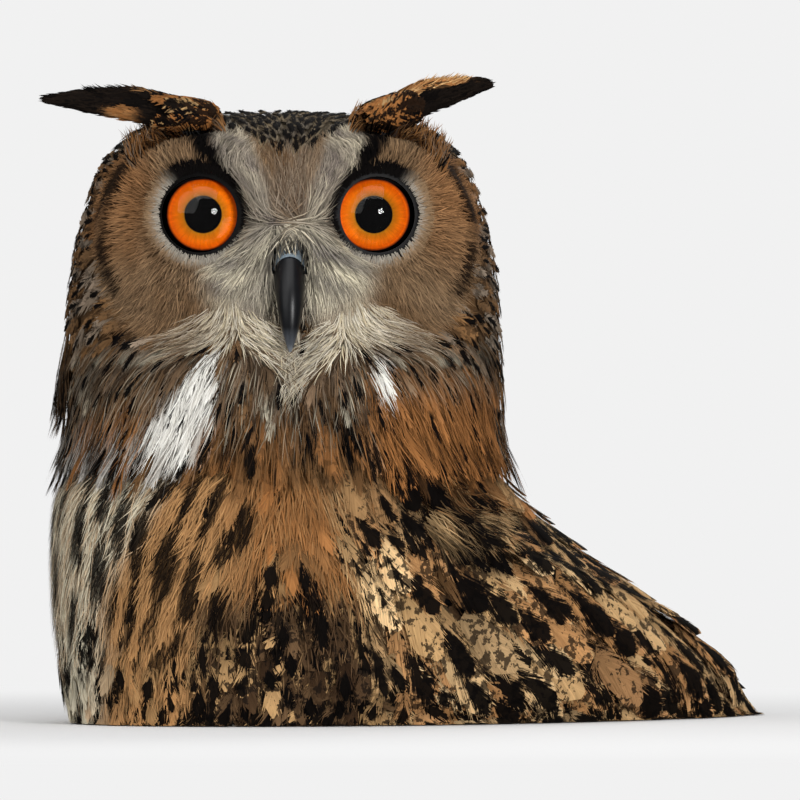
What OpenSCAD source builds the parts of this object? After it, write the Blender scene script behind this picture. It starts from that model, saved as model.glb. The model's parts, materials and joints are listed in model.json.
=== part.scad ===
// Life-size eagle-owl hand puppet: a hollow bust that stands on its flat base.
// The body is a moulded shell under a feathered coat. The head turns on a ring in the neck,
// the lower beak and the upper eyelids are worked by the hand inside, and the ear tufts and
// the folded wings swing on pins. A paper bag lines the way in for the hand.
//
// Frame: origin on the neck's turning axis, in the plane of the base. +Z is up and the face
// looks along -Y. The body is turned away from the face by body_turn.

/* [Whole] */
// How far the breast points away from the face, seen from above
body_turn = -55; // [-80:1:0]
// Thickness of the feathered coats
coat_t = 5.5; // [4:0.5:6]
// Thickness of the moulded shells
shell_t = 3; // [2:0.5:4]

/* [Body] */
// Height of the plane where the head meets the body
neck_z = 104; // [100:1:108]
// How much wider the body is at the breast than at the rump
egg = 0.16; // [0:0.02:0.24]

/* [Neck bearing] */
// Radius of the hand's way through the neck
neck_bore_r = 56; // [52:1:58]
// Wall of the turning spigot
spigot_t = 3.6; // [3:0.2:5]
// Running gap between the spigot and its collar
bearing_gap = 0.3; // [0.2:0.1:0.5]

/* [Eyes] */
// Half the distance between the two eyes
eye_x = 33.4; // [30:0.2:36]
// Depth of the eye centres behind the face
eye_y = -50; // [-54:1:-48]
// Height of the eyes above the base
eye_z = 204; // [200:1:208]
// Radius of the glass eye
eye_r = 17.4; // [16:0.2:18]
// Radius of the iris
iris_r = 14.4; // [13:0.2:15]
// Radius of the pupil
pupil_r = 7.2; // [6:0.2:9]

/* [Beak] */
// Width of the beak at its root
beak_w = 13; // [11:0.5:15]
// Radius of the pin that the lower beak turns on
jaw_pin_r = 1.5; // [1.2:0.1:2]

/* [Ear tufts] */
// Length of an ear tuft from its pin
tuft_len = 60; // [50:1:66]
// Rise of the left ear tuft above level
left_rise = 16.5; // [5:0.5:20]
// Rise of the right ear tuft above level
right_rise = 9; // [5:0.5:20]
// How far the left ear tuft is laid back
left_sweep = 35; // [0:1:40]
// How far the right ear tuft is laid back
right_sweep = 7; // [0:1:40]

/* [Wings] */
// Gap between a folded wing and the coat
wing_gap = 1; // [0.8:0.1:2]
// How far the back end of a folded wing stands off the coat, beyond that gap
tip_stand = 2.4; // [2:0.2:4]
// Thickness of a folded wing
wing_t = 4; // [3:0.5:6]
// Rows of wing coverts
wing_rows = 5; // [3:1:6]

/* [Hidden] */
$fn = 64;

tawny = "#a9743f";
brown = "#6b4a2c";
dark = "#1d1712";
kraft = "#b48a5a";
shell_grey = "#8d8a84";
horn = "#23252a";

// Outline of the coated body, by height: [z, front, back, half width] from the neck axis
BODY = [
    [0, 91, 231, 80], [15, 94, 218, 82], [32, 96.5, 194, 82.5],
    [50, 97.5, 165, 82.5], [66, 97, 136, 82], [80, 95.5, 112, 82.2],
    [90, 93, 97, 85], [96, 89.5, 89, 86], [100, 83.8, 83.5, 83.5], [104, 82, 82, 82]
];
// Outline of the coated head, by height: [z, front, back, half width, squareness of the face]
HEAD = [
    [112, 86, 86, 87, 2], [126, 87, 85, 88, 2], [140, 85, 84, 88, 2.05], [156, 81, 83, 87, 2.1],
    [174, 77.5, 81, 86, 2.15], [192, 75.5, 78, 83.5, 2.2], [208, 73.5, 73, 79.5, 2.2],
    [220, 69, 66, 75.5, 2.2], [230, 61, 56, 69, 2.2], [237, 51, 44, 61, 2.2],
    [242, 37, 30, 47, 2.1], [245, 15, 12, 20, 2]
];
// Heights of the rings that the head's shells are lofted through
HEAD_Z = [108, 117, 126, 140, 156, 174, 192, 208, 220, 230, 237, 242, 245];
// Side outline of a folded wing, by angle from the breast: [angle, low edge, top edge]
WING = [
    [50, 9, 60], [62, 6, 73], [78, 4, 78], [98, 4, 76],
    [118, 5, 65], [138, 8, 48], [154, 11, 33]
];
// Centre line of the upper beak from root to tip: [place, y, z, half width, half depth]
BEAK = [
    [0, -62, 186, 0.5 * beak_w, 9.5], [0.25, -72, 180, 0.485 * beak_w, 8.5],
    [0.5, -79.5, 171, 0.43 * beak_w, 6.8], [0.75, -83, 161, 0.32 * beak_w, 4.4],
    [0.9, -84, 154, 0.18 * beak_w, 2.3], [1, -83.4, 149, 0.6, 0.6]
];
// Centre line of the lower beak from its pin to its tip, in the same terms
JAW = [
    [0, -57, 168, 5.6, 3.6], [0.4, -66, 165.5, 5.2, 3],
    [0.75, -73, 161, 3.8, 2], [1, -78.5, 156.5, 1, 0.8]
];
// An ear tuft from its pin to its tip: [share of the length, arch, half height, half thickness]
TUFT = [
    [0, 0, 3, 2.4], [0.15, 1.5, 6, 3], [0.4, 3.5, 8.5, 3],
    [0.7, 3, 6.5, 2], [0.9, 1, 3, 1.2], [1, -0.5, 0.6, 0.5]
];
// Section of a facial disc from its centre to its rim: [radius, height]
DISC = [[0, 9], [30, 9.6], [38, 7], [42, 2], [44, 2], [44, 7], [42, 10], [36, 12], [26, 13], [0, 12.6]];
// Section of the neck ruff: [radius, z]
RUFF = [[84.8, 101], [88.5, 101.5], [89.5, 106], [88.6, 116], [86.2, 116], [86.2, 108.5], [84.8, 107]];
// Side of the block at the top of the beak frame, set into the face shell: [distance forward, z]
FRAME_TOP = [[-58.5, 196.5], [-66, 196.5], [-62.5, 210.5], [-57, 210.5]];
head_top = 245;
base_t = 5;                            // height of the base ring
base_w = 14;                           // width of its flange
lip_w = 8;                             // width of its lip, inside the coat
plate_t = 4;                           // thickness of the collar's plate
washer_t = 0.5;                        // thickness of the thrust washer
washer_gap = 0.1;                      // running gap above it
head_bottom = neck_z + 4;
coat_low = 1;                          // lower edge of the body's coat
coat_gap = 1;                          // between a coat and the shell under it
shell_off = coat_t + coat_gap;         // shells lie this far inside the outline
round_n = 36;                          // points around a shell
spigot_r = neck_bore_r + spigot_t;     // outside of the turning spigot
collar_r = spigot_r + bearing_gap;     // bore of the collar
tube_t = 4;                            // wall of the collar's tube
spigot_low = 86;                       // lower end of the spigot
ring_t = 4;                            // thickness of the retaining ring
flange_r = 79.5;                       // outside of the turning ring
flange_low = neck_z + washer_t + washer_gap;
stop_r = 72;                           // radius at which the stop pin runs
stop_pin_r = 2;
screw_r = 1.25;                        // shank of a retaining screw
screw_n = 6;
bag_x = 100;                           // width of the paper bag
bag_y = 50;                            // depth of the paper bag
bag_fold = 9;                          // how far its gussets fold in
bag_t = 0.8;
bag_low = 3;
bag_top = 164;
socket_r = 21.2;                       // outside of an eye socket
lid_t = 1;                             // thickness of an eyelid
lid_gap = 0.4;                         // between the glass eye and its lid
cavity_r = eye_r + lid_gap + lid_t + 0.6;  // inside of an eye socket
iris_h = 9;                            // height of the iris in front of the eye's centre
lid_arc = 105;                         // how far round an eyelid reaches
lid_rest = 52;                         // pitch of the open eyelid's edge above level
disc_r = 44;                           // outside of a facial disc
disc_flutes = 30;                      // shallow flutes round a facial disc
flute_r = 1;                           // radius of a flute
disc_drop = 12;                        // how far a disc's centre lies below the eye's
disc_tilt = 24;                        // how far a facial disc faces outwards
disc_gap = 8.5;                        // from the middle of the face to a disc's edge
socket_tilt = 10;
gaze_tilt = 4;
bridge_x = 69.5;                         // half the length of the bar that carries the eyes
jaw_y = -56;
jaw_z = 170;
cheek_x = 8.5;                         // inner face of the beak frame's cheeks
cheek_t = 2.5;
running = 0.05;                        // radial clearance of a pin that turns
tuft_at = [38, -40, 242];              // pin of the left ear tuft
tuft_pin_r = 1;
tuft_post_r = 3;                       // post of a tuft's bracket, through the face shell
hinge_at = [86, 10, 80];               // front end of the left wing's pin
hinge_to = [81.4, 46, 74];             // back end of the left wing's pin
hinge_r = 2.5;                         // outside of the wing's knuckles
wing_pin_r = 1.2;
knuckle = 10;                          // length of a wing's knuckle
wing_from = 50;                        // front edge of a wing, as an angle from the breast
wing_to = 154;                         // its back edge
wing_cols = 32;                        // faces along a wing
covert_w = 13;                         // width of a covert, in degrees
lap_t = 1.6;                           // step from one row of coverts to the next

// ---------- curves and skins ----------

// Index of the stretch of table T that holds height z
function stretch(z, T, i = 0) = (i >= len(T) - 2 || z < T[i + 1][0]) ? i : stretch(z, T, i + 1);
// Slope of column c of T at station i
function slope(T, i, c) =
    let (lo = max(i - 1, 0), hi = min(i + 1, len(T) - 1))
    (T[hi][c] - T[lo][c]) / (T[hi][0] - T[lo][0]);
// Column c of table T at height z, on a smooth curve through its stations
function at(z, T, c) =
    let (i = stretch(z, T), h = T[i + 1][0] - T[i][0], u = (z - T[i][0]) / h)
    (2 * u ^ 3 - 3 * u ^ 2 + 1) * T[i][c] + (u ^ 3 - 2 * u ^ 2 + u) * slope(T, i, c) * h
    + (3 * u ^ 2 - 2 * u ^ 3) * T[i + 1][c] + (u ^ 3 - u ^ 2) * slope(T, i + 1, c) * h;
// |v| to the power p, with v's sign
function signed_pow(v, p) = sign(v) * abs(v) ^ p;

// Point of the body, at angle t from the breast (90 is its left side), off mm inside the coat
function body_point(t, z, off) =
    let (f = at(z, BODY, 1) - off, b = at(z, BODY, 2) - off, w = at(z, BODY, 3) - off)
    [
        w * sin(t) * (1 + egg * (1 - (z / neck_z) ^ 2) * cos(t)),
        (b - f) / 2 - (f + b) / 2 * cos(t),
        z
    ];
// Point of the head, at angle t from the face, off mm inside the coat
function head_point(t, z, off) =
    let (
        n = cos(t) > 0 ? at(z, HEAD, 4) : 2.1,
        wide = at(z, HEAD, 3) - off,
        deep = at(z, HEAD, cos(t) > 0 ? 1 : 2) - off,
        drop = off * (z - head_bottom) / (head_top - head_bottom)
    )
    [wide * signed_pow(sin(t), 2 / n), -deep * signed_pow(cos(t), 2 / n), z - drop];

function grid_faces(rows, cols, first, wrap, inward) = [
    for (i = [0:rows - 2], j = [0:(wrap ? cols : cols - 1) - 1])
        let (
            a = first + i * cols + j, b = first + i * cols + (j + 1) % cols,
            c = first + (i + 1) * cols + (j + 1) % cols, d = first + (i + 1) * cols + j
        )
        each inward ? [[a, b, c], [a, c, d]] : [[a, c, b], [a, d, c]]
];
// Faces that join edge list p to edge list q
function seam_faces(p, q, wrap) = [
    for (k = [0:(wrap ? len(p) : len(p) - 1) - 1])
        let (n = (k + 1) % len(p))
        each [[p[k], q[n], q[k]], [p[k], p[n], q[n]]]
];

// Closed solid between two matching grids of points. wrap joins the last column to the first.
module skin(outer, inner, wrap = true) {
    rows = len(outer);
    cols = len(outer[0]);
    m = rows * cols;
    top = (rows - 1) * cols;
    row = [for (j = [0:cols - 1]) j];
    ones = [for (j = row) 1];
    column = [for (i = [0:rows - 1]) i * cols];
    last = [for (c = column) c + cols - 1];
    polyhedron(
        points = concat([for (r = outer) each r], [for (r = inner) each r]),
        faces = concat(
            grid_faces(rows, cols, 0, wrap, false),
            grid_faces(rows, cols, m, wrap, true),
            seam_faces(row, row + m * ones, wrap),
            seam_faces(row + (m + top) * ones, row + top * ones, wrap),
            wrap ? [] : seam_faces([for (c = column) c + m], column, false),
            wrap ? [] : seam_faces(last, [for (c = last) c + m], false)
        )
    );
}

// Closed solid through a stack of rings, with a flat end at each end.
module stack(rings) {
    rows = len(rings);
    cols = len(rings[0]);
    polyhedron(
        points = [for (r = rings) each r],
        faces = concat(
            grid_faces(rows, cols, 0, true, false),
            [[for (j = [0:cols - 1]) j]],
            [[for (j = [cols - 1:-1:0]) (rows - 1) * cols + j]]
        )
    );
}

// ---------- placing ----------

// Body parts are drawn with the breast along -Y, and turned to where the breast points
module in_body() rotate([0, 0, body_turn]) children();
// side is 1 for the owl's left and -1 for its right
module at_eye(side, tilt, drop = 0)
    translate([side * eye_x, eye_y, eye_z - drop]) rotate([90, 0, side * tilt]) children();
module on_side(side) {
    if (side > 0) children();
    else mirror([1, 0, 0]) children();
}
function angles(n) = [for (j = [0:n - 1]) 360 * j / n];
function body_rows(low, high, steps, off) = [
    for (i = [0:steps])
        let (z = low + (high - low) * i / steps)
        [for (t = angles(round_n)) body_point(t, z, off)]
];
function outline(z, off) = [for (t = angles(round_n)) let (p = body_point(t, z, off)) [p[0], p[1]]];

// ---------- body ----------

// Flat flange under the coat's edge, with a lip that the body shell stands on
module base_ring() color(kraft) in_body() {
    linear_extrude(coat_low - 0.2) difference() {
        polygon(outline(0, 1));
        polygon(outline(0, 1 + base_w));
    }
    skin(body_rows(0.1, base_t, 1, shell_off), body_rows(0.1, base_t, 1, shell_off + lip_w));
}

module body_shell() color(shell_grey) in_body()
    skin(
        body_rows(base_t, neck_z - plate_t, 12, shell_off),
        body_rows(base_t, neck_z - plate_t, 12, shell_off + shell_t)
    );

module body_coat() color(tawny) in_body()
    difference() {
        skin(body_rows(coat_low, neck_z - 0.5, 13, 0), body_rows(coat_low, neck_z - 0.5, 13, coat_t));
        for (side = [-1, 1]) on_side(side) wing_stem(0.1);
    }

// Plate that closes the top of the body, with the tube that the head turns in
module neck_collar() color(shell_grey) in_body()
    difference() {
        union() {
            translate([0, 0, neck_z - plate_t])
                linear_extrude(plate_t) polygon(outline(neck_z, shell_off + 0.3));
            translate([0, 0, spigot_low + 0.5])
                cylinder(r = collar_r + tube_t, h = neck_z - plate_t - spigot_low);
        }
        translate([0, 0, spigot_low - 1]) cylinder(r = collar_r, h = 30);
        translate([0, 0, neck_z - 2.5]) stop_slot();
    }
// Half-round groove that lets the head turn a quarter turn either way from the breast
module stop_slot() {
    rotate_extrude(angle = 180) translate([stop_r - stop_pin_r - 0.3, 0]) square([2 * stop_pin_r + 0.6, 5]);
    for (a = [0, 180]) rotate([0, 0, a]) translate([stop_r, 0, 0]) cylinder(r = stop_pin_r + 0.3, h = 5);
}

module thrust_washer() color("#e6e2d8")
    translate([0, 0, neck_z]) difference() {
        cylinder(r = 69, h = washer_t);
        translate([0, 0, -1]) cylinder(r = collar_r + 1.5, h = washer_t + 2);
    }

// ---------- neck of the head ----------

module turning_ring() color("#4a4a4a")
    difference() {
        union() {
            translate([0, 0, spigot_low]) cylinder(r = spigot_r, h = head_bottom - spigot_low);
            translate([0, 0, flange_low]) cylinder(r = flange_r, h = head_bottom - flange_low);
            translate([0, stop_r, neck_z - 2.2]) cylinder(r = stop_pin_r, h = 4);
        }
        translate([0, 0, spigot_low - 1]) cylinder(r = neck_bore_r, h = 30);
        ring_screws(screw_r);
    }

module retaining_ring() color("#4a4a4a")
    difference() {
        translate([0, 0, spigot_low - ring_t]) cylinder(r = collar_r + tube_t - 0.5, h = ring_t);
        translate([0, 0, spigot_low - ring_t - 1]) cylinder(r = neck_bore_r, h = ring_t + 2);
        ring_screws(screw_r);
    }

module ring_screws(r)
    for (k = [0:screw_n - 1]) rotate([0, 0, 360 * k / screw_n])
        translate([neck_bore_r + spigot_t / 2, 0, spigot_low - ring_t]) cylinder(r = r, h = ring_t + 9);
module retaining_screws() color("#b9bcc0") {
    ring_screws(screw_r);
    for (k = [0:screw_n - 1]) rotate([0, 0, 360 * k / screw_n])
        translate([neck_bore_r + spigot_t / 2, 0, spigot_low - ring_t - 1.6]) difference() {
            cylinder(r = 2.1, h = 1.6);
            translate([-3, -0.3, -1]) cube([6, 0.6, 1.7]);
        }
}

// Half section of the bag, inset mm inside its outside
function bag_outline(inset) =
    let (x = bag_x / 2 - inset, y = bag_y / 2 - inset, g = bag_x / 2 - bag_fold - inset)
    [[x, -y], [g, 0], [x, y], [-x, y], [-g, 0], [-x, -y]];
// Gusseted paper bag, mouth down, with a saw-toothed mouth
module hand_bag() color(kraft)
    difference() {
        translate([0, 0, bag_low]) linear_extrude(bag_top - bag_low) polygon(bag_outline(0));
        translate([0, 0, bag_low - 1])
            linear_extrude(bag_top - bag_low + 1 - bag_t) polygon(bag_outline(bag_t));
        for (k = [-9:9]) translate([k * 5, 0, bag_low - 1.7])
            rotate([0, 45, 0]) cube([3.4, bag_y + 4, 3.4], center = true);
    }

// ---------- head shells and coats ----------

function head_rows(off) = [for (z = HEAD_Z) [for (t = angles(round_n)) head_point(t, z, off)]];
// Closed dome between two offsets of the head's outline
module head_skin(off, inner_off)
    difference() {
        stack(head_rows(off));
        translate([0, 0, -0.01]) stack(head_rows(inner_off));
    }
module disc_holes()
    for (side = [-1, 1]) intersection() {
        at_eye(side, disc_tilt, disc_drop) translate([0, 0, 2]) cylinder(r = disc_r, h = 60);
        beside_beak(side);
    }
// Room for the eye sockets
module eye_holes()
    for (side = [-1, 1]) at_eye(side, socket_tilt)
        translate([0, 0, -12]) cylinder(r = socket_r + 0.2, h = 80);
// Everything to one side of the strip that the beak stands in
module beside_beak(side)
    translate([side > 0 ? disc_gap : -100 - disc_gap, -120, 100]) cube([100, 120, 160]);
module mouth_hole(x)
    translate([-x, -110, 141]) cube([2 * x, 70, 55]);
module tuft_holes(r)
    for (side = [-1, 1]) translate([side * tuft_at[0], tuft_at[1], 200]) cylinder(r = r, h = 60);

module face_shell() color(shell_grey)
    difference() {
        intersection() {
            head_skin(shell_off, shell_off + shell_t);
            translate([-100, -100, 100]) cube([200, 100, 160]);
        }
        disc_holes();
        eye_holes();
        mouth_hole(12);
        tuft_holes(tuft_post_r);
    }

module crown_shell() color(shell_grey)
    intersection() {
        head_skin(shell_off, shell_off + shell_t);
        translate([-100, 0, 100]) cube([200, 100, 160]);
    }

module head_coat() color(brown)
    difference() {
        head_skin(0, coat_t);
        disc_holes();
        eye_holes();
        mouth_hole(14);
        tuft_holes(7);
    }

// Skirt of feathers that hides the joint between the head and the body
module neck_ruff() color(brown)
    rotate_extrude() polygon(RUFF);

// ---------- face ----------

// Domed plate around an eye, fluted like the rows of feathers and cut off where the beak stands
module facial_disc(side) color("#8a6b4a")
    difference() {
        intersection() {
            at_eye(side, disc_tilt, disc_drop) difference() {
                rotate_extrude() polygon(DISC);
                for (k = [0:disc_flutes - 1]) rotate([0, 0, 360 * (k + 0.5) / disc_flutes]) flute();
            }
            beside_beak(side);
        }
        at_eye(side, socket_tilt) translate([0, 0, -10]) cylinder(r = socket_r, h = 60);
    }
// Groove that follows the slope of the disc from near its middle to its rim
module flute() translate([22, 0, 13.7]) rotate([0, 102, 0]) cylinder(r = flute_r, h = 26, $fn = 24);

// Black cup behind and round the glass eye, with a bevelled rim
module eye_socket(side) color(dark)
    difference() {
        at_eye(side, socket_tilt) rotate_extrude()
            polygon([[0, -8], [socket_r, -8], [socket_r, 10], [socket_r - 2, 12.5], [0, 12.5]]);
        at_eye(side, socket_tilt) sphere(r = cavity_r);
        at_eye(side, socket_tilt) cylinder(r = iris_r + 0.8, h = 40);
        at_eye(side, socket_tilt) translate([0, 0, -20]) cylinder(r = 17.2, h = 20);
        translate([0, eye_y, eye_z]) rotate([0, 90, 0])
            cylinder(r = 3, h = 2 * eye_x - 20, center = true);
    }

// Glass eye with its stem, hollowed for the iris and bored for the eyelid's pins
module eye_globe(side) color(dark)
    difference() {
        union() {
            at_eye(side, gaze_tilt) sphere(r = eye_r);
            translate([side * eye_x, -20, eye_z]) rotate([90, 0, 0]) cylinder(r = 4, h = -20 - eye_y - 8);
        }
        at_eye(side, gaze_tilt) translate([0, 0, iris_h]) cylinder(r = eye_r + 1, h = 12);
        translate([side * eye_x, eye_y, eye_z]) rotate([0, 90, 0]) lid_pins(1.2 + running);
    }
module lid_pins(r)
    for (a = [0, 180]) rotate([a, 0, 0]) translate([0, 0, eye_r - 4]) cylinder(r = r, h = 6);

module iris(side) color("#f26a0a") at_eye(side, gaze_tilt)
    rotate_extrude()
        polygon([[pupil_r, iris_h], [iris_r, iris_h], [iris_r, iris_h + 0.9], [pupil_r, iris_h + 0.5]]);

module cornea(side) color([1, 1, 1, 0.3]) at_eye(side, gaze_tilt)
    intersection() {
        sphere(r = eye_r);
        translate([0, 0, iris_h + 0.9]) cylinder(r = eye_r, h = 12);
    }

// Upper lid: a slice of a hollow ball that turns about the line through both eyes
module eyelid(side) color("#5a4636") translate([side * eye_x, eye_y, eye_z]) rotate([0, 90, 0]) {
    inner = eye_r + lid_gap;
    intersection() {
        difference() {
            sphere(r = inner + lid_t);
            sphere(r = inner);
        }
        rotate([0, 0, 270 - lid_rest - lid_arc]) rotate_extrude(angle = lid_arc)
            translate([0.4, -inner - 2]) square([inner + 2, 2 * inner + 4]);
    }
    for (a = [0, 180]) rotate([a, 0, 0]) translate([0, 0, inner - 0.05]) cylinder(r = 3, h = lid_t);
    intersection() {
        lid_pins(1.2);
        cylinder(r = 3, h = 2 * inner + 1, center = true);
    }
}

// Shaft that joins the two eyelids, with the thumb lever that closes them
module eyelid_lever() color("#c7c2b6") translate([0, eye_y, eye_z]) {
    reach = eye_x - eye_r - lid_gap - lid_t + 0.05;
    rotate([0, 90, 0]) cylinder(r = 2, h = 2 * reach, center = true);
    rotate([-50, 0, 0]) {
        translate([-2, 0, -1.5]) cube([4, 18, 3]);
        translate([0, 18, 0]) rotate([0, 90, 0]) cylinder(r = 4, h = 14, center = true);
    }
}

// Bar across the head that carries the glass eyes
module eye_bridge() color("#c7c2b6")
    difference() {
        translate([0, -20, eye_z]) rotate([90, 0, 0]) linear_extrude(4)
            polygon([[-bridge_x, -6], [bridge_x, -6], [bridge_x - 2.6, 6], [2.6 - bridge_x, 6]]);
        for (side = [-1, 1])
            translate([side * eye_x, -19, eye_z]) rotate([90, 0, 0]) cylinder(r = 4, h = 8);
    }

// ---------- beak ----------

// Ring of the beak at place s of table T, off mm outside it, from angle a to angle b around the centre line
function beak_ring(T, s, n, off = 0, a = 0, b = 360) =
    let (
        e = 0.02, lo = max(s - e, 0), hi = min(s + e, 1),
        dy = at(hi, T, 1) - at(lo, T, 1), dz = at(hi, T, 2) - at(lo, T, 2), l = norm([dy, dz]),
        c = [at(s, T, 1), at(s, T, 2)], up = [dz, -dy] / l,
        w = at(s, T, 3) + off, d = at(s, T, 4) + off
    )
    [for (j = [0:n - 1])
        let (t = a + (b - a) * j / (b - a == 360 ? n : n - 1))
        [w * sin(t), c[0] + up[0] * d * cos(t), c[1] + up[1] * d * cos(t)]];

module upper_beak() color(horn)
    stack([for (i = [10:-1:0]) beak_ring(BEAK, i / 10, 20)]);

// Soft blue-grey saddle over the beak's root, with the nostrils
module cere() color("#7d8a92")
    difference() {
        skin(
            [for (i = [4:-1:0]) beak_ring(BEAK, 0.06 * i, 13, 0.9 - 0.17 * i, -100, 100)],
            [for (i = [4:-1:0]) beak_ring(BEAK, 0.06 * i, 13, 0.05, -100, 100)], false);
        for (side = [-1, 1]) translate([side * 5.2, -71, 187])
            rotate([0, side * 90, 0]) cylinder(r = 1.3, h = 6, $fn = 24);
    }

// Two cheeks on a plate, behind the face, that hold the beak and its pin
module beak_frame() color("#c7c2b6")
    difference() {
        union() {
            for (x = [-cheek_x - cheek_t, cheek_x]) {
                translate([x, jaw_y, jaw_z]) rotate([0, 90, 0]) cylinder(r = 5, h = cheek_t);
                translate([x, jaw_y - 5, jaw_z]) cube([cheek_t, 14, 28]);
            }
            translate([-cheek_x - 1, jaw_y - 4.8, jaw_z + 9]) cube([2 * cheek_x + 2, 5, 19]);
            translate([0.5 - disc_gap, 0, 0]) rotate([90, 0, 90])
                linear_extrude(2 * disc_gap - 1) polygon(FRAME_TOP);
        }
        translate([0, jaw_y, jaw_z]) rotate([0, 90, 0]) cylinder(r = jaw_pin_r, h = 40, center = true);
    }

// Lower beak with its bored knuckle and the finger plate behind the pin
module lower_beak() color(horn)
    difference() {
        union() {
            stack([for (i = [6:-1:0]) beak_ring(JAW, i / 6, 16)]);
            translate([0, jaw_y, jaw_z]) rotate([0, 90, 0]) cylinder(r = 4.2, h = 16, center = true);
            translate([-6, jaw_y, jaw_z - 1.5]) cube([12, 16, 3]);
            translate([-14, jaw_y + 14, jaw_z - 1.5]) cube([28, 34, 3]);
        }
        translate([0, jaw_y, jaw_z]) rotate([0, 90, 0])
            cylinder(r = jaw_pin_r + running, h = 40, center = true);
    }

module jaw_pin() color("#b9bcc0")
    translate([0, jaw_y, jaw_z]) rotate([0, 90, 0])
        cylinder(r = jaw_pin_r, h = 2 * (cheek_x + cheek_t), center = true);

// ---------- ear tufts ----------

module at_tuft(side) on_side(side)
    translate(tuft_at) rotate([0, 0, side > 0 ? left_sweep : right_sweep]) children();

module tuft_bracket(side) color(dark) at_tuft(side)
    difference() {
        union() {
            translate([0, 0, -15.5]) cylinder(r = tuft_post_r, h = 9.5);
            translate([-4, -5.5, -6.5]) cube([8, 11, 2]);
            for (y = [-5.5, 3.1]) {
                translate([-4, y, -6]) cube([8, 2.4, 6]);
                translate([0, y, 0]) rotate([-90, 0, 0]) cylinder(r = 4, h = 2.4);
            }
        }
        rotate([90, 0, 0]) cylinder(r = tuft_pin_r, h = 20, center = true);
    }

module tuft_pin(side) color("#b9bcc0") at_tuft(side)
    rotate([90, 0, 0]) cylinder(r = tuft_pin_r, h = 11, center = true);

// Ring of points round a tuft at share s of its length
function tuft_ring(s) = [
    for (t = angles(16))
        [tuft_len * s + 1, at(s, TUFT, 3) * sin(t), at(s, TUFT, 1) + at(s, TUFT, 2) * cos(t)]
];
// Leaf-shaped tuft on a bored knuckle
module ear_tuft(side) color(dark) at_tuft(side)
    difference() {
        union() {
            rotate([90, 0, 0]) cylinder(r = 3.4, h = 5.6, center = true);
            rotate([0, side > 0 ? -left_rise : -right_rise, 0])
                stack([for (i = [8:-1:0]) tuft_ring(i / 8)]);
        }
        rotate([90, 0, 0]) cylinder(r = tuft_pin_r + running, h = 20, center = true);
    }

// ---------- wings ----------

hinge_dir = (hinge_to - hinge_at) / norm(hinge_to - hinge_at);
hinge_len = norm(hinge_to - hinge_at);
hinge_turn = atan2(hinge_dir[1], hinge_dir[0]);
hinge_dip = acos(hinge_dir[2]);
// Draws children along the left wing's pin, from place s mm along it
module on_hinge(s) translate(hinge_at + hinge_dir * s) rotate([0, hinge_dip, hinge_turn]) children();

// Point of a wing at angle t and share v of its height, off mm outside the coat
function wing_point(t, v, off) =
    let (low = at(t, WING, 1), top = at(t, WING, 2))
    body_point(t, low + (top - low) * v, -off - tip_stand * (max(t - 110, 0) / (wing_to - 110)) ^ 2);
// Rounded lower edges of the coverts in row r, as a share of the row's height. Rows are staggered.
function scallop(t, r) =
    0.42 * (1 - r / wing_rows) * abs(sin(180 * (t - wing_from) / covert_w + 90 * (r % 2)));
// Grid of a wing: each row of coverts is thickest at its lower edge, where it laps over the next
function wing_rows_at(off, lap) = [
    for (r = [0:wing_rows - 1], e = [0.001, 0.96])
        [for (k = [0:wing_cols])
            let (
                t = wing_from + (wing_to - wing_from) * k / wing_cols,
                v = r + e + (1 - e) * scallop(t, r) + e * scallop(t, r + 1)
            )
            wing_point(t, v / wing_rows, off + lap * (1 - e))]
];

module wing(side) color("#8c6a3f") in_body() on_side(side)
    difference() {
        union() {
            difference() {
                skin(wing_rows_at(wing_gap + wing_t - lap_t, lap_t), wing_rows_at(wing_gap, 0), false);
                on_hinge(knuckle - 0.2) cylinder(r = hinge_r + 0.4, h = hinge_len - 2 * knuckle + 0.4);
            }
            for (s = [0, hinge_len - knuckle]) on_hinge(s) cylinder(r = hinge_r, h = knuckle);
            for (s = [0, hinge_len - knuckle]) on_hinge(s) translate([0, -1.2, 0]) cube([6, 2.4, knuckle]);
        }
        on_hinge(-5) cylinder(r = wing_pin_r + running, h = hinge_len + 10);
    }

// Arm of a wing bracket, through the coat and into the shell
module wing_stem(gap)
    on_hinge(12 - gap) translate([-3 - gap, -1, 0]) cube([4 + 2 * gap, 15, hinge_len - 24 + 2 * gap]);

module wing_bracket(side) color("#b9bcc0") in_body() on_side(side)
    difference() {
        union() {
            on_hinge(12) cylinder(r = hinge_r, h = hinge_len - 24);
            wing_stem(0);
        }
        on_hinge(0) cylinder(r = wing_pin_r, h = hinge_len);
    }

module wing_pin(side) color("#b9bcc0") in_body() on_side(side)
    on_hinge(0) cylinder(r = wing_pin_r, h = hinge_len);

// ---------- nodes ----------

base_ring();
body_shell();
body_coat();
neck_collar();
thrust_washer();
turning_ring();
retaining_ring();
retaining_screws();
hand_bag();
face_shell();
crown_shell();
head_coat();
neck_ruff();
facial_disc(1);  // left_facial_disc
facial_disc(-1);  // right_facial_disc
eye_socket(1);  // left_eye_socket
eye_socket(-1);  // right_eye_socket
eye_globe(1);  // left_eye_globe
eye_globe(-1);  // right_eye_globe
iris(1);  // left_iris
iris(-1);  // right_iris
cornea(1);  // left_cornea
cornea(-1);  // right_cornea
eyelid(1);  // left_eyelid
eyelid(-1);  // right_eyelid
eyelid_lever();
eye_bridge();
beak_frame();
upper_beak();
cere();
lower_beak();
jaw_pin();
tuft_bracket(1);  // left_tuft_bracket
tuft_bracket(-1);  // right_tuft_bracket
ear_tuft(1);  // left_ear_tuft
ear_tuft(-1);  // right_ear_tuft
tuft_pin(1);  // left_tuft_pin
tuft_pin(-1);  // right_tuft_pin
wing(1);  // left_wing
wing(-1);  // right_wing
wing_bracket(1);  // left_wing_bracket
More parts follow.
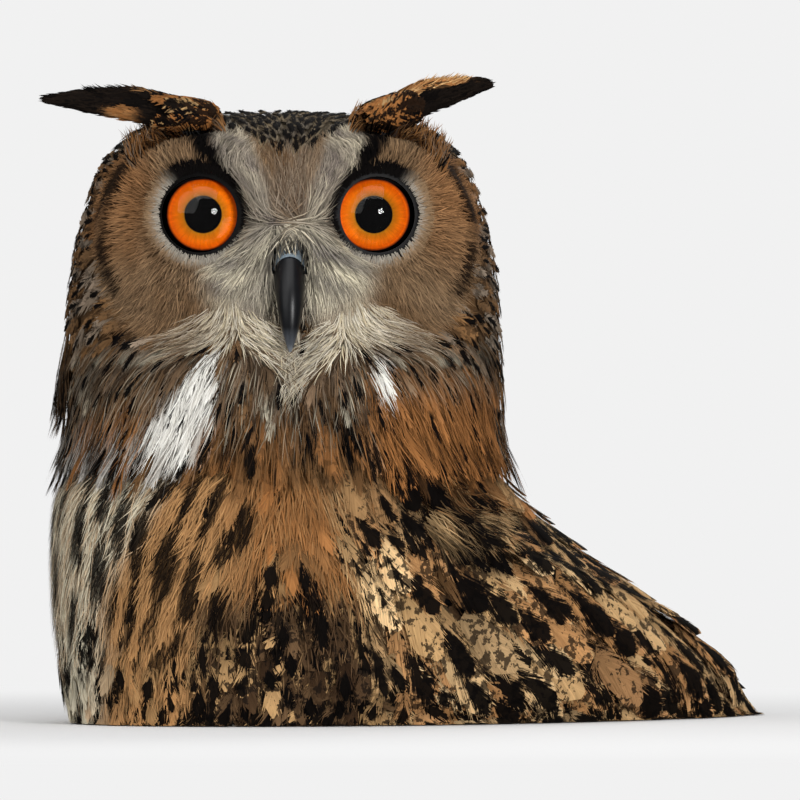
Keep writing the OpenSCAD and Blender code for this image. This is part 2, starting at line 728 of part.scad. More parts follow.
wing_bracket(-1);  // right_wing_bracket
wing_pin(1);  // left_wing_pin
wing_pin(-1);  // right_wing_pin
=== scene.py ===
"""Life-size eagle-owl hand puppet: modelled feathers, glass eyes and a horn beak on the CAD shells.

Lengths are in metres in the CAD model's frame: the face looks along -Y, +Z is up, and the owl's
left is +X. A feather is a curved sheet with barbs over it. Feathers lie on surfaces that are sampled
from the CAD solids, and follow the way they run on a live owl.
"""

import json
import math

import bmesh
import bpy
import numpy as np
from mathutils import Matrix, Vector
from mathutils.bvhtree import BVHTree

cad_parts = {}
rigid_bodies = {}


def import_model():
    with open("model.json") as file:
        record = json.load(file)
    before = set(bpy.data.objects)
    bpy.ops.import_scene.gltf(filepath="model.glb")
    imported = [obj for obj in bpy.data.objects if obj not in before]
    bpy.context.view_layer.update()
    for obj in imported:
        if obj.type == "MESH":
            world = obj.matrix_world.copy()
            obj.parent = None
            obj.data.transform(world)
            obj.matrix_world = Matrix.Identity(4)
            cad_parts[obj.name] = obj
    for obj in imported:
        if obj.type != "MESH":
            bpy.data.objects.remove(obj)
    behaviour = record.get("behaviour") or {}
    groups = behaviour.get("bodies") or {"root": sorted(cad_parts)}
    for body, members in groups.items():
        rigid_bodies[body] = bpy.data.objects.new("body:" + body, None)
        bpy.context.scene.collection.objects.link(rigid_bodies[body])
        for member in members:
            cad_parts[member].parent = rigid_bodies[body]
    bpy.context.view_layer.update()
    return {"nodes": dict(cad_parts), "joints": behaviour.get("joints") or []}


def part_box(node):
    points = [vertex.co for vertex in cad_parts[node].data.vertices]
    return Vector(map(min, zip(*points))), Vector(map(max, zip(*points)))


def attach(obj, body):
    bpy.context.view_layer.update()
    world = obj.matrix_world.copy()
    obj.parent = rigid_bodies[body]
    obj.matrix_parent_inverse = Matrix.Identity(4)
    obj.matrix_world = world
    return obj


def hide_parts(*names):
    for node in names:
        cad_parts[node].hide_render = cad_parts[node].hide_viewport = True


for leftover in list(bpy.data.objects):
    bpy.data.objects.remove(leftover)
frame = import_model()

MM = 0.001
JOINT = {joint["name"]: joint for joint in frame["joints"]}
SIDES = {"left": 1, "right": -1}
EYE_Y, EYE_Z = JOINT["blink"]["pos_m"][1:]
EYE_X = sum(corner[0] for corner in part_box("left_cornea")) / 2
NECK_Z = JOINT["head_turn"]["pos_m"][2]
BODY_TURN = math.radians(sum(JOINT["head_turn"]["range_deg"]) / 2)
EYES = {side: np.array([sign * EYE_X, EYE_Y, EYE_Z]) for side, sign in SIDES.items()}
HEAD_CENTRE = np.array([0, 0, EYE_Z - 29 * MM])
DOWN = np.array([0, 0, -1.0])


# ---------- small tools ----------

def srgb(red, green, blue):
    """A colour given as three bytes, as the linear values that shaders use."""
    value = np.array([red, green, blue]) / 255
    return np.where(value <= 0.04045, value / 12.92, ((value + 0.055) / 1.055) ** 2.4)


def unit(v):
    return v / np.maximum(np.linalg.norm(v, axis=-1, keepdims=True), 1e-9)


def ramp(x, low, high):
    """0 below low, 1 above high and smooth between them."""
    t = np.clip((x - low) / (high - low), 0, 1)
    return t * t * (3 - 2 * t)


def fall(x, low, high):
    """1 below low, 0 above high and smooth between them."""
    return 1 - ramp(x, low, high)


def mix(a, b, t):
    """a where t is 0 and b where t is 1. The last axis of a and b holds colours or directions."""
    t = np.asarray(t)[..., None]
    return a * (1 - t) + b * t


def vector(*values):
    """An array whose last axis holds the given values, each at the shape of the largest."""
    return np.stack(np.broadcast_arrays(*values), axis=-1)


def turned(points, angle):
    """Points turned about the vertical axis."""
    c, s = math.cos(angle), math.sin(angle)
    x, y, z = points[..., 0], points[..., 1], points[..., 2]
    return vector(x * c - y * s, x * s + y * c, z)


def ripple(points, scale, seed):
    """Smooth noise of about -1 to 1: a sum of waves in directions drawn from the seed."""
    rng = np.random.default_rng(seed)
    total = np.zeros(points.shape[:-1])
    for _ in range(6):
        wave = rng.normal(size=3) / scale
        total += np.sin(points @ wave + rng.uniform(0, 6.3))
    return total / 2.6


def node_points(node):
    return np.array([vertex.co for vertex in frame["nodes"][node].data.vertices])


def box_centre(node):
    low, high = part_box(node)
    return (np.array(low) + np.array(high)) / 2


def open_quads(rows, columns):
    """Faces between the points of a grid, which are numbered row by row."""
    index = np.arange(rows * columns).reshape(rows, columns)
    return np.stack([index[:-1, :-1], index[1:, :-1], index[1:, 1:], index[:-1, 1:]], -1).reshape(-1, 4)


def round_quads(rows, columns):
    """The same for a grid whose last column joins its first. These faces turn the other way."""
    index = np.arange(rows * columns).reshape(rows, columns)
    right = np.roll(index, -1, 1)
    return np.stack([index[:-1], right[:-1], right[1:], index[1:]], -1).reshape(-1, 4)


# ---------- palette ----------

BLACK = srgb(11, 8, 7)
DARK = srgb(38, 29, 22)
UMBER = srgb(78, 56, 38)
BROWN = srgb(122, 94, 66)
DISC = srgb(148, 120, 90)
TAWNY = srgb(166, 122, 78)
ORANGE = srgb(184, 122, 68)
BUFF = srgb(222, 178, 122)
SAND = srgb(226, 202, 160)
CREAM = srgb(230, 220, 194)
GREY = srgb(176, 168, 154)
WHITE = srgb(250, 248, 240)


# ---------- surfaces sampled from the CAD solids ----------

def solid_tree(names):
    """A ray-casting tree of some CAD nodes, and which node each of its faces is from."""
    points, faces, owner = [], [], []
    for name in names:
        mesh = frame["nodes"][name].data
        first = len(points)
        points.extend(v.co.copy() for v in mesh.vertices)
        faces.extend([first + i for i in face.vertices] for face in mesh.polygons)
        owner.extend([name] * len(mesh.polygons))
    return BVHTree.FromPolygons(points, faces), owner


def blurred(grid, times):
    """A grid smoothed along both ways. Its columns run round and join up."""
    for _ in range(times):
        grid = (np.roll(grid, 1, 1) + 2 * grid + np.roll(grid, -1, 1)) / 4
        grid = (np.vstack([grid[:1], grid[:-1]]) + 2 * grid + np.vstack([grid[1:], grid[-1:]])) / 4
    return grid


class Skin:
    """Outer surface of some CAD nodes, as distance from a centre line by compass angle and by height.

    Angles are in degrees from the front (-Y) towards +X. On the head, height is the elevation in
    degrees seen from the head's centre. On the body it is the height in metres, and angles are in
    the body's own frame, which is turned from the face's.
    """

    reach = 0.4  # how far out rays start
    columns = 240
    least = 0  # a smaller distance than this is an opening in the solid

    def __init__(self, names, low, high, rows, blur):
        self.low, self.high, self.rows = low, high, rows
        tree, owner = solid_tree(names)
        self.prepare(tree)
        a = np.arange(self.columns) * 360 / self.columns
        grid = np.full((rows, self.columns), np.nan)
        self.owner = np.full((rows, self.columns), "", dtype=object)
        for i, h in enumerate(np.linspace(low, high, rows)):
            centres, ways = self.rays(a, np.full(len(a), h))
            for j in range(self.columns):
                start = Vector(centres[j] + ways[j] * self.reach)
                hit, _, face, distance = tree.ray_cast(start, Vector(-ways[j]), self.reach)
                if hit is not None and self.reach - distance > self.least:
                    grid[i, j] = self.reach - distance
                    self.owner[i, j] = owner[face]
        self.grid = blurred(self.filled(grid), blur)

    def prepare(self, tree):
        """What a kind of skin does before its first ray is cast."""

    @staticmethod
    def filled(grid):
        """Closes openings from the surface around them."""
        opening = np.isnan(grid)
        grid = np.where(opening, np.nanmedian(grid), grid)
        for _ in range(300):
            grid = np.where(opening, blurred(grid, 1), grid)
        return grid

    def radius(self, a, h):
        x = np.mod(a, 360) * self.columns / 360
        y = np.clip((h - self.low) / (self.high - self.low), 0, 1) * (self.rows - 1)
        j = np.floor(x).astype(int)
        i = np.minimum(np.floor(y).astype(int), self.rows - 2)
        u, v = x - j, y - i
        j, k = j % self.columns, (j + 1) % self.columns
        lower = self.grid[i, j] * (1 - u) + self.grid[i, k] * u
        upper = self.grid[i + 1, j] * (1 - u) + self.grid[i + 1, k] * u
        return lower * (1 - v) + upper * v

    def node_at(self, a, h):
        """Names of the CAD nodes that the surface is from."""
        j = np.round(np.mod(a, 360) * self.columns / 360).astype(int) % self.columns
        i = np.round((h - self.low) / (self.high - self.low) * (self.rows - 1)).astype(int)
        return self.owner[np.clip(i, 0, self.rows - 1), j]

    def point(self, a, h):
        centres, ways = self.rays(a, h)
        return centres + ways * self.radius(a, h)[..., None]

    def normal(self, a, h):
        da, dh = 2.0, (self.high - self.low) / self.rows * 2
        across = self.point(a + da, h) - self.point(a - da, h)
        up = self.point(a, h + dh) - self.point(a, h - dh)
        return unit(np.cross(across, up))


class Dome(Skin):
    """The head."""

    least = 0.045

    def rays(self, a, h):
        a, h = np.radians(a), np.radians(np.minimum(h, 89.9))
        ways = vector(np.sin(a) * np.cos(h), -np.cos(a) * np.cos(h), np.sin(h))
        return np.broadcast_to(HEAD_CENTRE, ways.shape), ways

    def locate(self, p):
        q = p - HEAD_CENTRE
        flat = np.hypot(q[..., 0], q[..., 1])
        return np.degrees(np.arctan2(q[..., 0], -q[..., 1])), np.degrees(np.arctan2(q[..., 2], flat))


class Tower(Skin):
    """The body."""

    def prepare(self, tree):
        """Finds the middle of the body, between breast and rump, at each height."""
        self.levels = np.linspace(self.low, self.high, self.rows)
        middle = []
        for z in self.levels:
            ends = []
            for sign in (-1, 1):
                way = Vector(turned(np.array([0, sign, 0.0]), BODY_TURN))
                _, _, _, distance = tree.ray_cast(way * self.reach + Vector((0, 0, z)), -way, self.reach)
                ends.append(sign * (self.reach - distance))
            middle.append(sum(ends) / 2)
        self.middle = blurred(np.array(middle)[:, None] * np.ones((1, 4)), 4)[:, 0]

    def rays(self, a, h):
        a = np.radians(a)
        ways = vector(np.sin(a), -np.cos(a), 0 * a)
        centres = vector(0 * a, np.interp(h, self.levels, self.middle), h)
        return turned(centres, BODY_TURN), turned(ways, BODY_TURN)

    def locate(self, p):
        q = turned(p, -BODY_TURN)
        y = q[..., 1] - np.interp(q[..., 2], self.levels, self.middle)
        return np.degrees(np.arctan2(q[..., 0], -y)), q[..., 2]


HEAD_SOLIDS = ["head_coat", "face_shell", "left_facial_disc", "right_facial_disc", "left_eye_socket",
               "right_eye_socket", "neck_ruff"]
BODY_LOW, BODY_HIGH = 1.5 * MM, NECK_Z - 1 * MM
head_skin = Dome(HEAD_SOLIDS, -48, 90, 140, 6)
body_skin = Tower(["body_coat", "left_wing", "right_wing"], BODY_LOW, BODY_HIGH, 60, 3)
coat_skin = Tower(["body_coat"], BODY_LOW, BODY_HIGH, 60, 3)


# ---------- quills: where feathers and hairs lie ----------

def draw(skin, wanted, tries, seed):
    """Random angles and heights of points on a skin, evenly spread, where wanted(p) holds."""
    rng = np.random.default_rng(seed)
    a = rng.uniform(0, 360, tries)
    h = rng.uniform(skin.low, skin.high, tries)
    if isinstance(skin, Dome):
        keep = rng.uniform(0, 1, tries) < np.cos(np.radians(h))
        a, h = a[keep], h[keep]
    p = skin.point(a, h)
    good = wanted(p)
    return a[good], h[good], p[good]


def scatter(skin, gap, wanted, tries, seed):
    """Angles and heights of drawn points that are at least gap(p) apart."""
    a, h, p = draw(skin, wanted, tries, seed)
    space = gap(p) * np.ones(len(p))
    keys = np.floor(p / space.max()).astype(int)
    table, chosen = {}, []
    for i, (x, y, z) in enumerate(keys):
        near = [j for dx in (-1, 0, 1) for dy in (-1, 0, 1) for dz in (-1, 0, 1)
                for j in table.get((x + dx, y + dy, z + dz), ())]
        if near and np.min(np.sum((p[near] - p[i]) ** 2, axis=1)) < space[i] ** 2:
            continue
        table.setdefault((x, y, z), []).append(i)
        chosen.append(i)
    return a[chosen], h[chosen]


class Quills:
    """Centre lines of feathers: points, surface normals and forward directions at a few stations."""

    def __init__(self, points, normals, ways, length, width):
        self.points, self.normals, self.ways = points, normals, ways
        self.length, self.width = length, width
        self.root = points[:, 0]
        self.seen = points[:, round(0.7 * (points.shape[1] - 1))]  # the part that others don't cover

    def __len__(self):
        return len(self.points)

    def at(self, s):
        """Points, normals, forward and sideways directions at shares s (n, m) of the lengths."""
        stations = self.points.shape[1]
        x = np.clip(s, 0, 1.2) * (stations - 1)
        i = np.minimum(np.floor(x).astype(int), stations - 2)
        u = (x - i)[..., None]
        row = np.arange(len(self))[:, None]
        place, normal, way = (
            v[row, i] * (1 - u) + v[row, i + 1] * u for v in (self.points, self.normals, self.ways))
        return place, unit(normal), unit(way), unit(np.cross(normal, way))


def quills_on(skin, places, flow, size, seed, swerve=0.13, stations=6, spread=0.15):
    """Quills that start at places on a skin and follow the flow along it."""
    rng = np.random.default_rng(seed)
    a, h = places[:2]
    p, n = skin.point(a, h), skin.normal(a, h)
    length, width = size(p)
    length = length * rng.uniform(1 - spread, 1 + spread, len(p))
    width = width * rng.uniform(1 - spread, 1 + spread, len(p))
    turn = rng.normal(0, swerve, len(p))[:, None]

    def heading(p, n):
        way = unit(flow(p))
        return unit(way + turn * np.cross(n, way))

    step = (length / (stations - 1))[:, None]
    floor = skin.low if isinstance(skin, Tower) else NECK_Z + 3 * MM
    flare = 0 if isinstance(skin, Tower) else 0.3
    points, normals, ways = [], [], []
    way = heading(p, n)
    for _ in range(stations):
        way = unit(way - n * np.sum(way * n, -1, keepdims=True))
        points.append(p)
        normals.append(n)
        ways.append(way)
        ahead = p + way * step
        a, h = skin.locate(ahead)
        below = (ahead[:, 2] < floor)[:, None]
        ahead = ahead + below * unit(p * [1, 1, 0]) * step * flare
        p = np.where(below, ahead, skin.point(a, h))
        n = np.where(below, n, skin.normal(a, h))
        way = unit(0.6 * way + 0.4 * heading(p, n))
    return Quills(np.stack(points, 1), np.stack(normals, 1), np.stack(ways, 1), length, width)


# ---------- feather meshes ----------

def mesh_piece(name, points, quads, triangles=()):
    """A new smooth mesh object from arrays."""
    mesh = bpy.data.meshes.new(name)
    quads = np.asarray(quads, np.int32).reshape(-1, 4)
    triangles = np.asarray(triangles, np.int32).reshape(-1, 3)
    mesh.vertices.add(len(points))
    mesh.vertices.foreach_set("co", np.asarray(points, np.float32).ravel())
    mesh.loops.add(quads.size + triangles.size)
    mesh.loops.foreach_set("vertex_index", np.concatenate([quads.ravel(), triangles.ravel()]))
    mesh.polygons.add(len(quads) + len(triangles))
    starts = np.concatenate([np.arange(len(quads)) * 4, quads.size + np.arange(len(triangles)) * 3])
    mesh.polygons.foreach_set("loop_start", starts.astype(np.int32))
    mesh.update(calc_edges=True)
    mesh.polygons.foreach_set("use_smooth", np.ones(len(mesh.polygons), bool))
    piece = bpy.data.objects.new(name, mesh)
    bpy.context.scene.collection.objects.link(piece)
    return piece


def finish_piece(piece, body, material, slot, *replaced):
    piece.data.materials.append(material)
    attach(piece, body)
    if replaced:
        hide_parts(*replaced)
    return piece


def set_colours(mesh, name, colour):
    shade = np.ones((len(mesh.vertices), 4), np.float32)
    shade[:, :3] = np.clip(colour, 0.001, 1).reshape(-1, 3)
    mesh.color_attributes.new(name, "FLOAT_COLOR", "POINT").data.foreach_set("color", shade.ravel())


def set_uv(mesh, name, values, corner):
    flat_values = values.reshape(-1, 2)[corner].astype(np.float32)
    mesh.uv_layers.new(name=name).data.foreach_set("uv", flat_values.ravel())


def flat(v):
    """Joins an array's first two axes."""
    return v.reshape((-1,) + v.shape[2:])


RIBBON_ORDER = [0, 0, 1, 1, 2]  # which station each point of a ribbon is at: root, middle or tip


class Plumage:
    """Gathers feathers and hairs, and builds them into one piece."""

    def __init__(self):
        self.parts = []
        self.tiles = 0

    def new_tiles(self, count):
        """Numbers for more feathers. Each feather has its own tile in the OFBake map."""
        self.tiles += count
        return self.tiles - count + np.arange(count)

    def add(self, points, normals, quads, tris, colour, marks, spot, grain, tile):
        """Adds n copies of one small mesh: points (n, k, 3), and spot is the place on the feather."""
        points = points.copy()
        points[..., 2] = np.maximum(points[..., 2], 0.4 * MM)
        tiles = np.repeat(tile[:, None], points.shape[1], 1)
        self.parts.append({
            "points": points, "normals": normals, "colour": colour, "marks": marks, "spot": spot,
            "grain": grain, "tile": tiles, "quads": quads, "tris": tris})

    def ribbons(self, mid, across, width, normal, colour, marks, spot, tile, rng):
        """Ribbons with centre points mid (n, 3, 3) and widths (n, 3) at the root, middle and tip."""
        half = across * width[..., None] / 2
        sides = [mid[:, k] + hand * half[:, k] for k in (0, 1) for hand in (-1, 1)]
        points = np.stack(sides + [mid[:, 2]], axis=1)
        edge = np.array([0, 0.16, 0, 0.16, 0.08])
        run = np.tile([0, 0, 0.5, 0.5, 1], (len(mid), 1))
        grain = vector(rng.uniform(0, 400, (len(mid), 1)) + edge, run)
        normals = normal[:, RIBBON_ORDER]
        self.add(points, normals, [[1, 0, 2, 3]], [[3, 2, 4]], colour, marks, spot, grain, tile)

    def build(self, name, body, slot, *replaced):
        quads, tris, first = [], [], 0
        for part in self.parts:
            n, k = part["points"].shape[:2]
            start = first + np.arange(n)[:, None, None] * k
            quads.append((start + np.array(part["quads"])[None]).reshape(-1, 4))
            if len(part["tris"]):
                tris.append((start + np.array(part["tris"])[None]).reshape(-1, 3))
            first += n * k
        quads, tris = np.concatenate(quads), np.concatenate(tris)
        joined = {}
        for key in ("points", "normals", "colour", "marks", "spot", "grain"):
            joined[key] = np.concatenate([flat(part[key]) for part in self.parts])
        tile = np.concatenate([part["tile"].ravel() for part in self.parts])
        piece = mesh_piece(name, joined["points"], quads, tris)
        mesh = piece.data
        corner = np.concatenate([quads.ravel(), tris.ravel()])
        side = math.ceil(math.sqrt(self.tiles))
        inside = 0.06 + 0.88 * np.clip(joined["spot"] * [1, 0.5] + [0, 0.5], 0, 1)
        set_uv(mesh, "OFBake", (np.stack([tile % side, tile // side], -1) + inside) / side, corner)
        set_uv(mesh, "Barb", joined["grain"], corner)
        set_uv(mesh, "Feather", joined["spot"], corner)
        set_colours(mesh, "Colour", joined["colour"])
        set_colours(mesh, "Marks", joined["marks"])
        mesh.normals_split_custom_set_from_vertices(unit(joined["normals"]).tolist())
        return finish_piece(piece, body, plume, slot, *replaced)


def vane(s, root=0.3, widest=0.6):
    """Half width of a feather's vane, as a share of its most, at share s of its length."""
    widening = root + (1 - root) * np.sin(np.pi / 2 * np.clip(s / widest, 0, 1))
    narrowing = np.sqrt(np.clip(1 - ((s - widest) / (1.02 - widest)) ** 2, 0, 1))
    return np.where(s < widest, widening, narrowing)


def painted(paint, s, p, luck):
    """The colours and marks that a paint function gives, one of each for every share s.

    Paint functions take s, how far along the feather a point is; p, where the feather is; and luck,
    four random shares that each feather has.
    """
    answers = paint(s, p, np.moveaxis(luck, -1, 0))
    return [np.broadcast_to(values, s.shape + (3,)) for values in answers]


class Vanes:
    """The curved surfaces of feathers on quills. A sheet and barbs are laid on them."""

    def __init__(self, quills, rng, lift, base, cup):
        self.quills, self.lift, self.base, self.cup = quills, lift, base, cup
        self.luck = rng.uniform(0, 1, (len(quills), 4))
        self.rise = rng.uniform(0.6, 1.4, (len(quills), 1))
        self.half_width = quills.width[:, None] / 2

    def place(self, s, t, up):
        """Points and normals at share s of the length and at t half widths across."""
        spot, normal, way, side = self.quills.at(s)
        height = (self.base + self.lift * np.clip(s, 0, 1.2) ** 0.8) * self.rise
        height = height - self.cup * t * t * self.half_width + up
        points = spot + side * (t * self.half_width)[..., None] + normal * height[..., None]
        return points, unit(normal + side * (self.cup * 1.6 * t)[..., None] + way * 0.1)


def add_sheets(plumage, vanes, paint, tile, sheet, lean, sheet_width, shoulder):
    """Adds each feather's vane as one curved sheet."""
    quills, half_width = vanes.quills, vanes.half_width
    along, cross = sheet
    s = np.repeat(np.linspace(0.0, 0.93, along), cross + 1)[None, :] * np.ones((len(quills), 1))
    t = np.tile(np.linspace(-1, 1, cross + 1), along)[None, :] * vane(s) * sheet_width
    t = t * (1 - 0.8 * ramp(s, shoulder, 1.0))
    points, normals = vanes.place(s, t, 0)
    colour, marks = painted(paint, s, quills.seen[:, None, :], vanes.luck[:, None, :])
    from_shaft = np.abs(t) * half_width
    across = (s * quills.length[:, None] * math.sin(lean) - from_shaft * math.cos(lean)) / MM
    grain = vector(0.12 * across + 40 * vanes.luck[:, :1], from_shaft / (6 * MM))
    quads = open_quads(along, cross + 1)
    plumage.add(points, normals, quads, [], colour, marks, vector(s, t), grain, tile)


def add_barbs(plumage, vanes, paint, tile, rng, barbs, lean, inner, ragged):
    """Adds barbs over the vanes, which make their soft outlines."""
    quills, half_width = vanes.quills, vanes.half_width
    hand = np.tile([-1, 1], barbs)[None, :]
    reach = np.repeat(0.12 + 0.86 * ((np.arange(barbs) + 0.5) / barbs) ** 0.8, 2)[None, :]
    reach = reach + rng.normal(0, 0.25 / barbs, (len(quills), 2 * barbs))
    edge = vane(np.clip(reach, 0, 1)) * rng.uniform(1 - ragged, 1 + 1.3 * ragged, reach.shape)
    slant = np.tan(lean * rng.uniform(1 - ragged, 1 + ragged, reach.shape))
    back = np.maximum((1 - inner) * edge * half_width / slant / quills.length[:, None], 0.16)
    float_up = rng.uniform(0.05, 0.3, reach.shape) * MM
    mids, tilts, spots = [], [], []
    for q in (0, 0.55, 1):
        s = np.clip(reach - back * (1 - q), 0, 1.15)
        t = hand * edge * (inner + (1 - inner) * q ** 0.8)
        points, normals = vanes.place(s, t, float_up)
        mids.append(points)
        tilts.append(normals)
        spots.append(vector(s, t))
    mid = np.stack(mids, 2)
    across = unit(np.cross(tilts[0], unit(mid[:, :, 2] - mid[:, :, 0])))
    gap = 0.95 / barbs * quills.length[:, None] * np.sin(np.arctan(slant)) + 0.12 * MM
    spot = np.stack([spots[k] for k in RIBBON_ORDER], -2)
    seen, luck = quills.seen[:, None, None, :], vanes.luck[:, None, None, :]
    colour, marks = painted(paint, spot[..., 0], seen, luck)
    plumage.ribbons(
        flat(mid), flat(np.stack([across] * 3, 2)), flat(vector(gap, gap * 1.2, gap * 0)),
        flat(np.stack(tilts, 2)), flat(colour), flat(marks), flat(spot), np.repeat(tile, 2 * barbs), rng)


def feathers(plumage, quills, paint, seed, lift, base=0.5 * MM, cup=0.25, sheet=(4, 2), sheet_width=0.82,
             shoulder=0.55, barbs=12, inner=0.1, lean=0.3, ragged=0.3):
    """Adds a feather on each quill: a curved vane, and barbs over it.

    The tip stands above the skin by lift and base, and cup bends the vane down at its sides. Its sheet
    has so many steps along and across, and narrows from the shoulder on. Barbs start at the share
    inner of the half width, lean outwards by an angle, and are uneven by ragged.
    """
    rng = np.random.default_rng(seed)
    vanes = Vanes(quills, rng, lift, base, cup)
    tile = plumage.new_tiles(len(quills))
    add_sheets(plumage, vanes, paint, tile, sheet, lean, sheet_width, shoulder)
    add_barbs(plumage, vanes, paint, tile, rng, barbs, lean, inner, ragged)


def hairs(plumage, quills, paint, seed, lift, base, curl=0.3):
    """Adds a single tapered hair on each quill. Hairs make the finest plumage, as on the face."""
    rng = np.random.default_rng(seed)
    n = len(quills)
    luck = rng.uniform(0, 1, (n, 4))
    s = np.array([[0, 0.5, 1.0]]) * np.ones((n, 1))
    place, normal, _, side = quills.at(s)
    height = base + lift * s ** 0.8 * rng.uniform(0.3, 1.4, (n, 1))
    bend = curl * rng.normal(0, 1, (n, 1)) * quills.length[:, None] * s * s * 0.3
    tilt = unit(normal + side * rng.normal(0, 0.2, (n, 1, 1)))
    widths = np.array([[0.8, 1, 0]]) * quills.width[:, None]
    along = s[:, RIBBON_ORDER]
    colour, marks = painted(paint, along, quills.seen[:, None, :], luck[:, None, :])
    middle = place + normal * height[..., None] + side * bend[..., None]
    spot = vector(along, np.array([[-1, 1, -1, 1, 0]]))
    plumage.ribbons(middle, side, widths, tilt, colour, marks, spot, plumage.new_tiles(n), rng)


def marked(mark=0, worm=0):
    """Marks for the plumage material: the width of the black shaft mark, and how dark worming is."""
    return vector(mark, worm, 0.0)


# ---------- materials ----------

class Nodes:
    """A material's node tree, with short calls to add and join nodes."""

    def __init__(self, name):
        self.material = bpy.data.materials.new(name)
        self.material.use_nodes = True
        self.tree = self.material.node_tree
        self.shader = self.tree.nodes["Principled BSDF"]
        self.output = self.tree.nodes["Material Output"]

    def new(self, kind, **settings):
        node = self.tree.nodes.new(kind)
        for key, value in settings.items():
            if hasattr(node, key):
                setattr(node, key, value)
            else:
                node.inputs[key.replace("_", " ")].default_value = value
        return node

    def join(self, source, target):
        self.tree.links.new(source, target)

    def put(self, value, socket):
        """Joins another node's output to a socket, or sets the socket's value."""
        if isinstance(value, bpy.types.NodeSocket):
            self.join(value, socket)
        elif socket.type == "RGBA":
            socket.default_value = (*value, 1)
        else:
            socket.default_value = value

    def shade(self, **settings):
        for key, value in settings.items():
            self.put(value, self.shader.inputs[key.replace("_", " ")])

    def place(self):
        return self.new("ShaderNodeTexCoord").outputs["Object"]

    def painted(self, layer):
        return self.new("ShaderNodeVertexColor", layer_name=layer).outputs["Color"]

    def uv(self, layer):
        return self.new("ShaderNodeUVMap", uv_map=layer).outputs["UV"]

    def blend(self, factor, a, b, mode="MIX"):
        node = self.new("ShaderNodeMix", data_type="RGBA", blend_type=mode)
        self.put(factor, node.inputs["Factor"])
        self.put(a, node.inputs[6])
        self.put(b, node.inputs[7])
        return node.outputs[2]

    def maths(self, operation, a, b=0.0):
        node = self.new("ShaderNodeMath", operation=operation)
        self.put(a, node.inputs[0])
        self.put(b, node.inputs[1])
        return node.outputs["Value"]

    def plus(self, a, b):
        return self.maths("ADD", a, b)

    def less(self, a, b):
        return self.maths("SUBTRACT", a, b)

    def times(self, a, b):
        return self.maths("MULTIPLY", a, b)

    def size(self, a):
        return self.maths("ABSOLUTE", a)

    def fade(self, value, low, high):
        """0 where the value is at low and 1 where it is at high, and smooth between."""
        node = self.new("ShaderNodeMapRange", interpolation_type="SMOOTHSTEP")
        node.inputs["From Min"].default_value = low
        node.inputs["From Max"].default_value = high
        self.join(value, node.inputs["Value"])
        return node.outputs["Result"]

    def stops(self, source, *stops):
        """A colour ramp: stops are (place, colour or grey)."""
        node = self.new("ShaderNodeValToRGB")
        while len(node.color_ramp.elements) < len(stops):
            node.color_ramp.elements.new(0.5)
        for element, (place, colour) in zip(node.color_ramp.elements, stops):
            element.position = place
            element.color = (*np.broadcast_to(colour, 3), 1)
        self.join(source, node.inputs["Fac"])
        return node.outputs["Color"]

    def toned(self, colour, source, *stops):
        """A colour made darker or lighter by a ramp of greys."""
        return self.blend(1.0, colour, self.stops(source, *stops), "MULTIPLY")

    def scaled(self, vector, scale):
        node = self.new("ShaderNodeMapping")
        node.inputs["Scale"].default_value = scale
        self.join(vector, node.inputs["Vector"])
        return node.outputs["Vector"]

    def split(self, vector):
        node = self.new("ShaderNodeSeparateXYZ")
        self.join(vector, node.inputs[0])
        return node.outputs

    def noise(self, vector, scale, detail=3, rough=0.6):
        node = self.new("ShaderNodeTexNoise", Scale=scale, Detail=detail, Roughness=rough)
        self.join(vector, node.inputs["Vector"])
        return node.outputs["Fac"]

    def choose(self, share, first, second):
        """A mix of two shaders' outputs."""
        node = self.new("ShaderNodeMixShader")
        self.join(share, node.inputs["Fac"])
        self.join(first, node.inputs[1])
        self.join(second, node.inputs[2])
        return node.outputs["Shader"]

    def bump(self, height, strength, distance):
        node = self.new("ShaderNodeBump", Strength=strength, Distance=distance)
        self.join(height, node.inputs["Height"])
        self.join(node.outputs["Normal"], self.shader.inputs["Normal"])


def plume_material():
    """Feathers: their ground colour, dark worming, and a black mark along the shaft."""
    m = Nodes("plumage")
    mark, worm, _ = m.split(m.painted("Marks"))
    s, t, _ = m.split(m.uv("Feather"))
    off_shaft = m.size(t)
    place = m.place()
    blotchy = m.noise(place, 200, 3, 0.6)
    fine = m.noise(place, 300, 3, 0.62)
    filament = m.noise(m.scaled(m.uv("Barb"), (9, 0.7, 1)), 1, 2, 0.7)

    dense = m.fade(m.noise(place, 95, 2, 0.5), 0.42, 0.62)
    full = m.plus(fine, m.times(dense, 0.12))
    full = m.plus(full, m.times(m.fade(off_shaft, 0.35, 0.95), 0.05))
    worms = m.times(m.fade(full, 0.585, 0.64), m.times(worm, 0.92))
    colour = m.blend(worms, m.painted("Colour"), DARK)

    torn = m.plus(m.times(m.less(blotchy, 0.5), 1.1), m.times(m.less(filament, 0.5), 1.3))
    profile = m.stops(s, (0.2, 0.0), (0.42, 0.6), (0.66, 1.0), (0.82, 0.9), (0.95, 0.0))
    edge = m.less(m.plus(off_shaft, torn), m.times(profile, mark))
    strength = m.times(m.fade(edge, 0.12, -0.10), m.fade(mark, 0.02, 0.12))
    colour = m.blend(m.times(strength, 0.99), colour, BLACK)
    m.shade(Base_Color=m.toned(colour, filament, (0.25, 0.62), (0.75, 1.2)),
            Roughness=0.85, Specular_IOR_Level=0.06)
    m.bump(filament, 0.35, 0.3 * MM)
    return m.material


